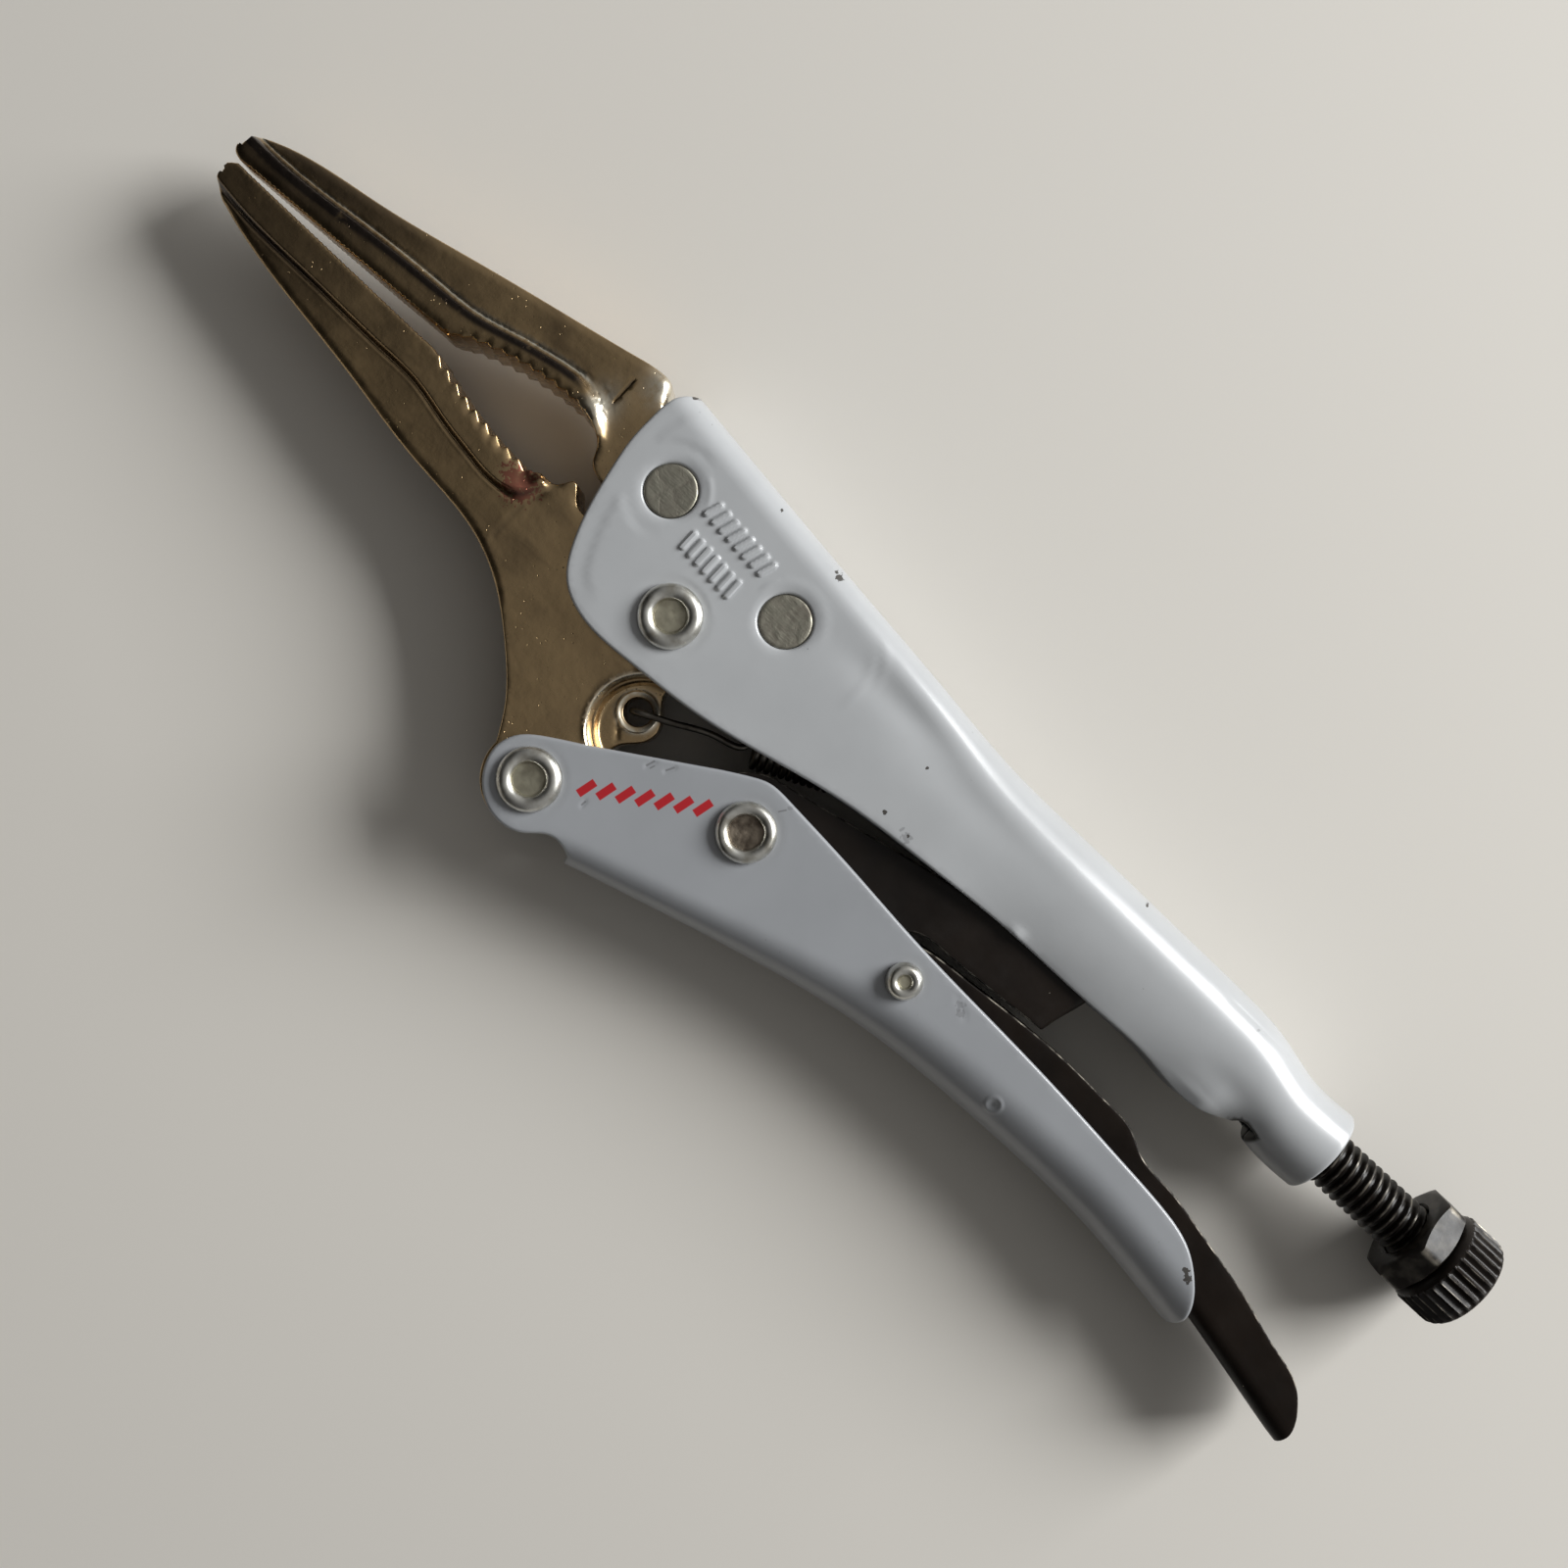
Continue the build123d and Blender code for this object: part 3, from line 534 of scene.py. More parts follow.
class Channel:
    """A folded sheet. u runs along it and v round its section, from 0 in the middle of the spine."""

    def __init__(self, stations, side, curl=None, flat=None):
        """The open edge faces down where side is 1 and up where it is -1.

        At each u, curl is how tightly the cheeks roll in, and flat how far the fold is flattened out.
        """
        self.table = np.array(stations, float)
        self.side = side
        self.curl = curl
        self.flat = flat

    def section(self, u):
        """Spine height, half width and bend radius at each u."""
        found = along(self.table[:, 0], self.table[:, 1:], u)
        return found[:, 0], found[:, 1], found[:, 2]

    def place(self, u, v, depth=0.0):
        """Distance from the spine toward the open edge and height, at a depth into the sheet."""
        _, half, bend = self.section(u)
        turn = np.abs(v)
        band = half - bend
        angle = np.clip((turn - band) / bend, 0, math.pi / 2)
        cheek = np.maximum(turn - band - bend * math.pi / 2, 0)
        away = bend - (bend - depth) * np.cos(angle) + cheek
        height = np.minimum(turn, band) + (bend - depth) * np.sin(angle)
        if self.curl is not None:
            tight = np.maximum(self.curl(u), 1e-6)
            away += (1 / tight - depth) * np.sin(tight * cheek) - cheek
            height -= (1 / tight - depth) * (1 - np.cos(tight * cheek))
        if self.flat is not None:
            share = self.flat(u)
            plain = turn - band - bend * math.pi / 2 + bend
            away = away + share * (plain - away)
            height = height + share * (half - depth - height)
        return away, height

    def points(self, uv, depth=0.0):
        """The places in space of flat points."""
        u, v = uv[:, 0], uv[:, 1]
        away, height = self.place(u, v, depth)
        return np.stack([u, self.section(u)[0] - self.side * away, height * np.sign(v + 1e-12)], 1)

    def unrolled(self, xy):
        """The flat points, on the upper cheek, of places on the side view."""
        xy = np.asarray(xy, float)
        spine, half, bend = self.section(xy[:, 0])
        found = []
        for (x, y), top, low in zip(xy, spine, half - bend):
            turns = np.linspace(low, low + 42, 900)
            away, _ = self.place(np.full(len(turns), x), turns)
            end = int(np.argmax(away)) + 1
            found.append((x, np.interp(self.side * (top - y), away[:end], turns[:end])))
        return np.array(found)


def mirrored(half):
    """A closed loop from a run of points on the upper side and the same on the lower side."""
    return joined(half, half[::-1] * (1, -1))


def across_ends(half, *corner):
    """The closed loop round a channel, from its edge on one side, straight across its two ends."""
    front = polyline([(half[0][0], 0.0), *corner, half[0]], 0.3)
    rear = polyline([half[-1], (half[-1][0], 0.0)], 0.3)
    return mirrored(joined_open(front, half, rear))


def both_cheeks(hole):
    """A hole on the upper cheek and its twin on the lower one."""
    return [hole, hole * (1, -1)]


def cheek_holes(channel, count, *holes):
    """Loops of round holes, given as (centre, radius), through both cheeks."""
    made = []
    for centre, radius in holes:
        made += both_cheeks(channel.unrolled(circle(centre, radius, count)))
    return made


# ---------------------------------------------------------------- materials
class Finish:
    """A procedural material with a Principled shader, in object coordinates."""

    def __init__(self, name, colour, metallic, roughness, coat=0.0, coat_roughness=0.08):
        self.material = bpy.data.materials.new(name)
        self.material.use_nodes = True
        self.tree = self.material.node_tree
        self.shader = self.tree.nodes["Principled BSDF"]
        self.put(self.shader, "Base Color", (*colour, 1))
        self.put(self.shader, "Metallic", metallic)
        self.put(self.shader, "Roughness", roughness)
        self.put(self.shader, "Coat Weight", coat)
        self.put(self.shader, "Coat Roughness", coat_roughness)
        self.where = self.add("ShaderNodeTexCoord").outputs["Object"]
        self.normal = None

    def add(self, kind, **settings):
        node = self.tree.nodes.new(kind)
        for key, value in settings.items():
            setattr(node, key, value)
        return node

    def put(self, node, name, value):
        """Sets an input to a value, or links a socket to it."""
        if isinstance(value, bpy.types.NodeSocket):
            self.tree.links.new(value, node.inputs[name])
        else:
            node.inputs[name].default_value = value

    def stretched(self, scale):
        """The place, scaled along each axis, for grain that is longer one way."""
        node = self.add("ShaderNodeMapping")
        self.put(node, "Vector", self.where)
        self.put(node, "Scale", scale)
        return node.outputs[0]

    def noise(self, size, detail=3.0, low=0.0, high=1.0, at=None, distortion=0.0):
        """Noise of the given grain in mm, stretched so that low..high becomes 0..1."""
        node = self.add("ShaderNodeTexNoise")
        self.put(node, "Vector", at or self.where)
        self.put(node, "Scale", 1000.0 / size)
        self.put(node, "Detail", detail)
        self.put(node, "Distortion", distortion)
        return self.span(node.outputs[0], low, high)

    def cells(self, size, low, high):
        """Distance to the nearest of a scatter of points, for pits and specks."""
        node = self.add("ShaderNodeTexVoronoi")
        self.put(node, "Vector", self.where)
        self.put(node, "Scale", 1000.0 / size)
        return self.span(node.outputs["Distance"], low, high)

    def span(self, value, low, high, to_low=0.0, to_high=1.0):
        """The value moved from low..high to to_low..to_high, and held at its ends."""
        node = self.add("ShaderNodeMapRange")
        for index, number in enumerate((value, low, high, to_low, to_high)):
            self.put(node, index, number)
        return node.outputs[0]

    def patchy(self, size, detail, low, high):
        """Noise of the given grain that wanders between low and high."""
        return self.span(self.noise(size, detail, 0.3, 0.7), 0, 1, low, high)

    def maths(self, operation, a, b=0.0):
        node = self.add("ShaderNodeMath", operation=operation)
        self.put(node, 0, a)
        self.put(node, 1, b)
        return node.outputs[0]

    def times(self, a, b):
        return self.maths("MULTIPLY", a, b)

    def vector(self, operation, a, b=(0, 0, 0)):
        node = self.add("ShaderNodeVectorMath", operation=operation)
        self.put(node, 0, a)
        self.put(node, 1, b)
        return node

    def blend(self, share, a, b):
        """Colour a where share is 0 and colour b where it is 1."""
        node = self.add("ShaderNodeMix", data_type="RGBA")
        self.put(node, 0, share)
        for index, colour in ((6, a), (7, b)):
            self.put(node, index, colour if isinstance(colour, bpy.types.NodeSocket) else (*colour, 1))
        return node.outputs[2]

    def colour(self, value):
        self.put(self.shader, "Base Color", value)

    def roughness(self, value):
        self.put(self.shader, "Roughness", value)

    def bump(self, height, depth):
        """Adds relief of about the given depth in mm."""
        node = self.add("ShaderNodeBump")
        self.put(node, "Strength", 1.0)
        self.put(node, "Distance", depth * MM)
        self.put(node, "Height", height)
        if self.normal is not None:
            self.put(node, "Normal", self.normal)
        self.normal = node.outputs[0]
        self.put(self.shader, "Normal", self.normal)

    def wear_and_painted_light(self):
        """The wear, painted shade and painted glints that the piece's own points carry."""
        return self.add("ShaderNodeVertexColor", layer_name="wear_and_painted_light").outputs["Color"]

    def from_place(self, x, y):
        """The vector from a place on the tool."""
        return self.vector("SUBTRACT", self.where, in_row_frame(x, y)).outputs[0]

    def on_top(self, share):
        """The share on the tool's upper side, and 0 on its lower side."""
        height = self.add("ShaderNodeSeparateXYZ")
        self.put(height, 0, self.where)
        return self.times(share, self.maths("GREATER_THAN", height.outputs[2], ORIGIN[2]))

    def spot(self, x, y, size):
        """1 in a ragged patch of about that radius."""
        flat = self.vector("MULTIPLY", self.from_place(x, y), (1, 1, 0))
        length = self.vector("LENGTH", flat.outputs[0])
        reach = self.times(self.noise(0.35, 2.0, 0.2, 0.8), 2 * size * MM)
        return self.on_top(self.maths("LESS_THAN", length.outputs["Value"], reach))

    def bar(self, start, end, half):
        """1 within half a width of the line from start to end, with a soft rim."""
        start, end = np.array(start, float), np.array(end, float)
        length = np.linalg.norm(end - start)
        run = (end - start) / length
        place = self.from_place(*(start + end) / 2)
        rim = 0.03
        found = []
        for direction, reach in ((run, length / 2), ((-run[1], run[0]), half)):
            dot = self.vector("DOT_PRODUCT", place, (*direction, 0))
            size = self.maths("ABSOLUTE", dot.outputs["Value"])
            found.append(self.span(size, (reach + rim) * MM, (reach - rim) * MM))
        return self.on_top(self.times(*found))


RED_PRINT = (0.42, 0.012, 0.018)
DUST = (0.2, 0.2, 0.2)
UNDERCOAT = (0.045, 0.04, 0.035)
SCUFFED = (0.15, 0.15, 0.155)
# Painted shade: near black inside the barrel and round its notch.
PAINTED_BARREL_SHADE = (0.012, 0.011, 0.01)
PIT = (0.035, 0.026, 0.018)
# Painted red reflection on the end of the lower jaw's pad.
PAINTED_RED_REFLECTION = (0.33, 0.085, 0.065)
# Painted shade in the jaws' recesses and toward their tips.
PAINTED_RECESS_SHADE = (0.05, 0.036, 0.028)
# Painted whitish glints on the jaws.
PAINTED_GLINT = (0.88, 0.82, 0.68)
BARE_STEEL = (0.44, 0.40, 0.33)


def enamel(name, tint, coat, chips, scuffs, scratches=(), stripes=()):
    """Glossy blue-grey enamel with a faint orange peel, dust specks, chips, scuffs and red stripes.

    The wear_and_painted_light layer is 1 where painted shade makes the sheet near black.
    """
    made = Finish(name, tint, 0.0, 0.3, coat=coat, coat_roughness=0.17)
    cloud = made.noise(9.0, 3.0, 0.3, 0.7)
    base = made.blend(cloud, tuple(0.96 * part for part in tint), tuple(1.04 * part for part in tint))
    for stripe in stripes:
        base = made.blend(made.bar(*stripe), base, RED_PRINT)
    for scratch in scratches:
        base = made.blend(made.times(made.bar(*scratch), 0.75), base, SCUFFED)
    for scuff in scuffs:
        base = made.blend(made.times(made.spot(*scuff), 0.45), base, SCUFFED)
    dust = made.times(made.cells(1.7, 0.045, 0.03), made.noise(6.0, 1.0, 0.55, 0.62))
    base = made.blend(dust, base, DUST)
    chip = 0.0
    for place in chips:
        chip = made.maths("MAXIMUM", chip, made.spot(*place))
    base = made.blend(chip, base, UNDERCOAT)
    # Painted shade: near black where the layer is 1, inside the barrel and on the notch's edge.
    made.colour(made.blend(made.wear_and_painted_light(), base, PAINTED_BARREL_SHADE))
    made.bump(made.noise(1.6, 2.0, 0.2, 0.8), 0.004)
    made.bump(chip, -0.12)
    made.roughness(made.maths("MAXIMUM", made.patchy(4.0, 4.0, 0.3, 0.36), made.times(chip, 0.6)))
    return made.material


def plated(name, light, dark, pit_depth):
    """Dark nickel over forged steel: faint streaks, fine pits, a painted red reflection, and painted shade in
    recesses and toward the tips.

    The layer is above 0 where shade is painted and below 0 where whitish glints are painted.
    """
    made = Finish(name, light, 1.0, 0.3, coat=0.4, coat_roughness=0.2)
    streak = made.noise(2.6, 5.0, 0.35, 0.68, at=made.stretched((0.3, 1.0, 1.0)), distortion=0.5)
    blotch = made.noise(6.5, 4.0, 0.35, 0.7)
    base = made.blend(made.times(streak, blotch), light, dark)
    pits = made.times(made.cells(0.55, 0.15, 0.05), made.noise(2.6, 3.0, 0.52, 0.62))
    base = made.blend(made.times(pits, 0.75), base, PIT)
    # Painted reflection: a red patch on the end of the lower jaw's pad.
    red_reflection = made.times(made.spot(-20.2, -0.45, 1.75), made.noise(2.0, 2.0, 0.1, 0.5))
    base = made.blend(made.times(red_reflection, 0.8), base, PAINTED_RED_REFLECTION)
    # Painted shade: darker where the layer is above 0, along the pad's border, the lug's step, the crease and
    # toward the tips.
    layer = made.wear_and_painted_light()
    painted_shade = made.times(layer, made.noise(1.1, 4.0, 0.0, 0.38))
    base = made.blend(painted_shade, base, PAINTED_RECESS_SHADE)
    # Painted highlight: whitish glints where the layer is below 0.
    glint_share = made.times(made.span(layer, 0, -1), made.noise(0.9, 3.0, 0.15, 0.5))
    made.colour(made.blend(glint_share, base, PAINTED_GLINT))
    made.bump(made.noise(0.5, 5.0, 0.25, 0.75), 0.006)
    made.bump(made.noise(3.2, 4.0, 0.2, 0.8), 0.016)
    made.bump(pits, -pit_depth)
    made.roughness(made.patchy(2.0, 5.0, 0.2, 0.34))
    return made.material


def bright_metal(name, light, dark, rough_low, rough_high, scratch=0.006):
    """Bright plate with faint marks and a little grime."""
    made = Finish(name, light, 1.0, rough_low)
    made.colour(made.blend(made.noise(1.4, 5.0, 0.45, 0.75), light, dark))
    made.bump(made.noise(0.5, 5.0, 0.2, 0.8), scratch)
    made.bump(made.noise(2.2, 2.0, 0.2, 0.8), scratch * 3)
    made.roughness(made.patchy(1.1, 4.0, rough_low, rough_high))
    return made.material


def pin_metal(name):
    """Dull ground steel with mottled grey marks."""
    made = Finish(name, (0.2, 0.2, 0.18), 1.0, 0.5)
    mottle = made.noise(1.3, 6.0, 0.35, 0.68, distortion=1.2)
    made.colour(made.blend(mottle, (0.40, 0.385, 0.315), (0.23, 0.21, 0.175)))
    made.bump(made.noise(0.35, 4.0, 0.2, 0.8, at=made.stretched((0.3, 1.6, 1.0))), 0.012)
    made.bump(mottle, -0.02)
    made.roughness(made.span(mottle, 0, 1, 0.42, 0.62))
    return made.material


def blackened(name, gloss, shine):
    """Black oxide: satin, brown where thin, and bare where the wear layer says so."""
    made = Finish(name, (0.012, 0.011, 0.01), 0.0, gloss)
    made.put(made.shader, "Specular IOR Level", shine)
    tint = made.noise(7.0, 4.0, 0.3, 0.7)
    base = made.blend(tint, (0.0055, 0.0038, 0.0028), (0.011, 0.0072, 0.005))
    specks = made.times(made.cells(2.2, 0.035, 0.02), made.noise(8.0, 2.0, 0.55, 0.6))
    ragged = made.noise(1.4, 4.0, 0.45, 0.75)
    bare = made.maths("MAXIMUM", specks, made.times(made.wear_and_painted_light(), ragged))
    made.colour(made.blend(bare, base, BARE_STEEL))
    made.put(made.shader, "Metallic", bare)
    made.bump(made.noise(0.7, 4.0, 0.2, 0.8), 0.01)
    made.roughness(made.patchy(2.5, 4.0, gloss - 0.05, gloss + 0.12))
    return made.material


# ---------------------------------------------------------------- fixed handle
OUTER_EDGE, INNER_EDGE = 0.34, 0.2
SEAM_GAP = 0.04
# Dents and swellings of the fixed handle: place, reach along and across, height.
HANDLE_DENTS = [
    (24.0, 9.2, 8.0, 1.7, -0.36), (34.0, 7.2, 9.0, 2.0, -0.22), (46.6, 0.35, 0.8, 0.45, 0.3),
    (70.5, 0.75, 2.6, 0.35, 0.12), (72.5, 3.4, 3.0, 1.5, -0.22),
]


def curl(u):
    """How tightly the fixed handle's cheeks roll in toward its open side, as it nears the barrel."""
    early = 0.045 * smooth(34, 52, u) + 0.025 * smooth(58, 70, u)
    return early + (1 / BARREL_RADIUS - 0.07) * smooth(71.5, 78.0, u)


def short_ribs(points, start, end, count, height, lean):
    """Raised short bars in a row from start to end, as a share of full height."""
    start, end = np.array(start, float), np.array(end, float)
    total = np.zeros(len(points))
    for i in range(count):
        foot = start + (end - start) * i / (count - 1)
        total = np.maximum(total, smooth(0.42, 0.2, to_segment(points, foot, foot + (lean, height))))
    return total


def arc(xy, centre, radius, width, start, end, outside, inside):
    """A ridge round the centre, fading in and out at two angles in degrees."""
    turn = np.degrees(np.arctan2(xy[:, 1] - centre[1], xy[:, 0] - centre[0]))
    share = smooth(start - outside, start + inside, turn) * smooth(end + outside, end - inside, turn)
    return share * bell(away_from(xy, centre) - radius, width)


def fixed_relief(xy, upper, distance):
    """Height in mm of the fixed handle's marks above its plain sheet."""
    x, y = xy[:, 0], xy[:, 1]
    height = -0.12 * smooth(4.3, 3.3, away_from(xy, JAW_PIVOT))
    for pin, start, end in ((FRONT_PIN, 20, 105), (REAR_PIN, 15, 165)):
        height += 0.07 * arc(xy, pin, 3.95, 0.3, start, end, 15, 10)
        height -= 0.10 * smooth(3.6, 2.75, away_from(xy, pin))
    for centre, radius, start, end in (((15.9, 9.0), 3.6, -5, 75), ((12.8, 6.9), 6.0, -15, 40)):
        height += 0.06 * arc(xy, centre, radius, 0.28, start, end, 12, 12)
    for at_x, at_y, long, wide, lift in HANDLE_DENTS:
        height += lift * bell(x - at_x, long) * bell(y - at_y, wide)
    height -= 0.10 * smooth(2.35, 2.05, distance) * smooth(-6.0, -9.0, x) * smooth(17.5, 15.0, y)
    crease = y - (10.15 - 0.02 * (x - 66))
    height -= upper * 0.07 * bell(crease, 0.22) * smooth(65, 68, x)
    marks = np.maximum(short_ribs(xy, (-4.3, 9.9), (3.6, 9.15), 8, 1.55, 0.5),
                       short_ribs(xy, (-3.8, 5.9), (2.7, 5.3), 7, 1.75, 0.0))
    return height + 0.3 * marks * upper


def fixed_handle_skin():
    """The rolled shell with the spring's tab, and where shade is painted on it: near black inside the barrel
    and on the notch's edge.
    """
    channel = Channel(FIXED_STATIONS, 1, curl=curl)
    edge = channel.unrolled(spline(FIXED_EDGE))
    notch = channel.unrolled(spline([FIXED_EDGE[-1], (76.3, 1.75), (77.4, 1.85), (78.2, 1.75)], 0.2))
    rear = polyline([(BARREL_START, notch[-1][1]), (BARREL_START, seam(channel, BARREL_START))], 0.3)
    under = [(u, seam(channel, u)) for u in np.arange(BARREL_START + 0.3, BARREL_END, 0.3)]
    close = polyline([(BARREL_END, seam(channel, BARREL_END)), (BARREL_END, 0.0)], 0.3)
    loop = mirrored(joined(edge, notch, rear, np.array(under), close))
    holes = cheek_holes(channel, 72, (FRONT_PIN, 2.74), (REAR_PIN, 2.74), (JAW_PIVOT, 2.25))
    marks = channel.unrolled([(0.0, 8.5)])[0][1]
    crease = channel.unrolled([(75.0, 10.0)])[0][1]
    patches = [(-6.2, marks - 5.0, 5.6, marks + 5.0, 0.16), (63.0, crease - 1.4, 85.0, crease + 1.4, 0.2)]
    region = Region([loop, *holes], 0.46, OUTER_EDGE, patches)
    uv = region.points
    u = uv[:, 0]
    outer = channel.points(uv)
    lift = fixed_relief(outer[:, :2], uv[:, 1] > 0, region.distance)
    front = channel.points(uv, rounded(region.distance, OUTER_EDGE) - lift)
    _, half, bend = channel.section(u)
    cheek = np.abs(uv[:, 1]) - half + bend - bend * math.pi / 2
    room = np.maximum(np.abs(outer[:, 2]) - LINK_ROOM, 0.5)
    by_link = smooth(-1.0, 1.0, cheek) * smooth(63.0, 58.5, u)
    thick = SHEET + 0.2 * smooth(77.5, 79.5, u)
    thick = thick - by_link * np.maximum(thick - room, 0)
    back = channel.points(uv, thick - rounded(region.distance, INNER_EDGE))
    tab = spring_tab_skin()
    # Painted shade: near black on the notch's edge, and on the back side inside the barrel from u 66 on.
    cut = smooth(75.0, 75.6, u) * smooth(79.0, 78.5, u) * smooth(0.6, 0.35, region.distance)
    bare = np.concatenate([cut, smooth(66.0, 73.0, u), np.zeros(len(tab[0]))])
    return merged(region.skin(front, back, flip=True), tab), bare


def seam(channel, u):
    """Where the rolled sheet stops, just short of its other half under the barrel."""
    _, half, bend = (value[0] for value in channel.section([u]))
    return float(half - bend + bend * math.pi / 2 + math.pi / 2 / curl(np.array([u]))[0]) - SEAM_GAP


def spring_tab_skin():
    """The tab inside the fixed handle that the spring's far end hooks into."""
    x, low, top, radius = SPRING_ANCHOR[0], 4.6, 11.3, 1.7
    outline = joined(polyline([(x - radius, top), (x - radius, low)], 0.3),
                     circle((x, 4.85), radius, 16, math.pi, math.pi),
                     polyline([(x + radius, low), (x + radius, top), (x - radius, top)], 0.3))
    region = Region([outline, circle(SPRING_ANCHOR, 0.8, 32)], 0.4, 0.15)
    return region.plate(0.7 - rounded(region.distance, 0.15))


# ---------------------------------------------------------------- lever handle
DIMPLE = (56.5, -13.7)
# Scores in the lever's enamel: both ends, depth and width.
LEVER_SCORES = [
    ((8.3, -12.5), (8.7, -11.5), 0.09, 0.16), ((10.05, -11.6), (10.55, -10.6), 0.09, 0.16),
    ((6.3, -19.7), (6.3, -19.1), 0.09, 0.16), ((46.7, -8.4), (48.4, -9.2), 0.07, 0.22),
]


def lever_relief(xy, upper):
    """Height in mm of the lever handle's marks above its plain sheet."""
    away = away_from(xy, DIMPLE)
    height = upper * 0.07 * (bell(away - 0.75, 0.2) - 1.3 * bell(away, 0.45))
    for centre, reach in ((LEVER_PIVOT, 4.2), (LINK_PIVOT, 4.0), (RELEASE_PIVOT, 2.7)):
        height -= 0.10 * smooth(reach, reach - 1.0, away_from(xy, centre))
    for start, end, depth, width in LEVER_SCORES:
        height -= upper * depth * bell(to_segment(xy, start, end), width)
    return height


def lever_handle_skin():
    """The lever's channel, whose cheeks run on past its spine at the front, with no painted shade."""
    channel = Channel(LEVER_STATIONS, -1, flat=lambda u: 1 - smooth(4.5, 8.8, u))
    slope = polyline([LEVER_BOSS_EDGE[-1], LEVER_TOP_EDGE[0]])
    half = channel.unrolled(joined_open(spline(LEVER_BOSS_EDGE), slope, spline(LEVER_TOP_EDGE)))
    start = half[0][0]
    _, width, bend = (value[0] for value in channel.section([start]))
    holes = cheek_holes(channel, 56, (LEVER_PIVOT, 2.25), (LINK_PIVOT, 2.1), (RELEASE_PIVOT, 1.2))
    low = channel.unrolled([(7.5, -15.5)])[0][1]
    dimple = channel.unrolled([DIMPLE])[0][1]
    patches = [(5.0, low - 4.6, 12.0, low + 5.6, 0.22), (54.8, dimple - 1.6, 58.2, dimple + 1.6, 0.16)]
    region = Region([across_ends(half, (start, width - bend)), *holes], 0.44, OUTER_EDGE, patches)
    uv = region.points
    lift = lever_relief(channel.points(uv)[:, :2], uv[:, 1] > 0)
    front = channel.points(uv, rounded(region.distance, OUTER_EDGE) - lift)
    back = channel.points(uv, SHEET - rounded(region.distance, INNER_EDGE))
    return region.skin(front, back), np.zeros(2 * len(uv))


# ---------------------------------------------------------------- release lever and toggle link
def pressing(channel, region, sheet, edge, inner_edge, wave, reach, order=(0, 1, 2)):
    """The slightly wavy skin of a thin black pressing, and its wear, which is along the rim only."""
    uv = region.points
    lift = 0.03 * rough(uv, *wave)
    front = channel.points(uv, rounded(region.distance, edge) + 0.03 - lift)
    back = channel.points(uv, sheet - rounded(region.distance, inner_edge))
    share = smooth(reach, 0.04, region.distance)
    return region.skin(front[:, order], back[:, order]), np.concatenate([share, share])


def release_lever_skin():
    """The release lever's channel, and its wear."""
    channel = Channel(RELEASE_STATIONS, -1)
    half = channel.unrolled(spline(RELEASE_TOP_EDGE, 0.3))
    region = Region([across_ends(half), *cheek_holes(channel, 40, (RELEASE_PIVOT, 1.25))], 0.5, 0.16)
    return pressing(channel, region, RELEASE_SHEET, 0.16, 0.12, (9.0, 3), 0.15)


def toggle_link_skin():
    """Two cheeks folded from one strip round the rear end; the channel here runs along Y."""
    section = (3.7, 1.5)
    stations = [(y, x, *section) for x, y in reversed(LINK_REAR_EDGE)]
    (low_y, low_x), (high_y, high_x) = stations[0][:2], stations[-1][:2]
    stations = [(low_y - 14, low_x - 0.6, *section), *stations, (high_y + 4, high_x, *section)]
    channel = Channel(stations, 1)
    turned = lambda points: np.asarray(points)[:, ::-1]
    top, lower = spline(LINK_TOP_EDGE), spline(LINK_LOWER_EDGE)
    start, end = bearing(lower[-1], LINK_PIVOT), bearing(top[0], LINK_PIVOT)
    boss = circle(LINK_PIVOT, LINK_BOSS, 60, start, -(2 * math.pi - (end - start)))
    half = channel.unrolled(turned(joined_open(lower, boss, top)))
    holes = both_cheeks(channel.unrolled(turned(circle(LINK_PIVOT, 2.15, 48))))
    region = Region([across_ends(half), *holes], 0.5, 0.2)
    return pressing(channel, region, LINK_SHEET, 0.2, 0.15, (11.0, 5), 0.13, order=(1, 0, 2))


# ---------------------------------------------------------------- jaws
NOSE_TIP, NOSE_LENGTH = -65.0, 46.1
PAD_HALF = (2.2, 4.7)
WEB_TIP = 1.3
EDGE = 0.22
TEETH = 9
STEP_CENTRE, STEP_RADIUS = (5.4, -10.2), 5.05
# How far the extra lines of mesh points lie beside a pad's border, the lug's step and a crease.
BORDER_OFFSETS = (
    -1.0, -0.8, -0.66, -0.56, -0.47, -0.38, -0.28, -0.17, -0.05, 0.07, 0.19, 0.3, 0.4, 0.52, 0.68,
)
STEP_OFFSETS = (-0.9, -0.7, -0.52, -0.36, -0.2, -0.06, 0.08, 0.22, 0.36, 0.52, 0.7)
CREASE_OFFSETS = (-0.25, -0.12, 0.0, 0.12, 0.25)


def tooth_row(start, end, crest, side, depth=0.5, lean=0.7):
    """A row of rounded teeth with crests on a curve."""
    pitch = (end - start) / TEETH
    points = []
    for i in range(TEETH):
        at = start + i * pitch
        tops, gullets = (0.07, 0.0, 0.03), (depth - 0.06, depth, depth - 0.08)
        for centre, drops in ((at, tops), (at + lean * pitch, gullets)):
            points += [(centre + shift, crest(centre) + side * drop)
                       for shift, drop in zip((-0.12, 0.0, 0.1), drops)]
    return points + [(end, crest(end))]


def fine_teeth(start, end, side, pitch=0.62, depth=0.1):
    """The fine serration near the tips: small notches along a straight run."""
    start, end = np.array(start, float), np.array(end, float)
    count = int(np.linalg.norm(end - start) / pitch)
    points = []
    for i in range(count):
        points.append(start + (end - start) * i / count)
        points.append(start + (end - start) * (i + 0.6) / count + (0, side * depth))
    return [tuple(p) for p in points] + [tuple(end)]


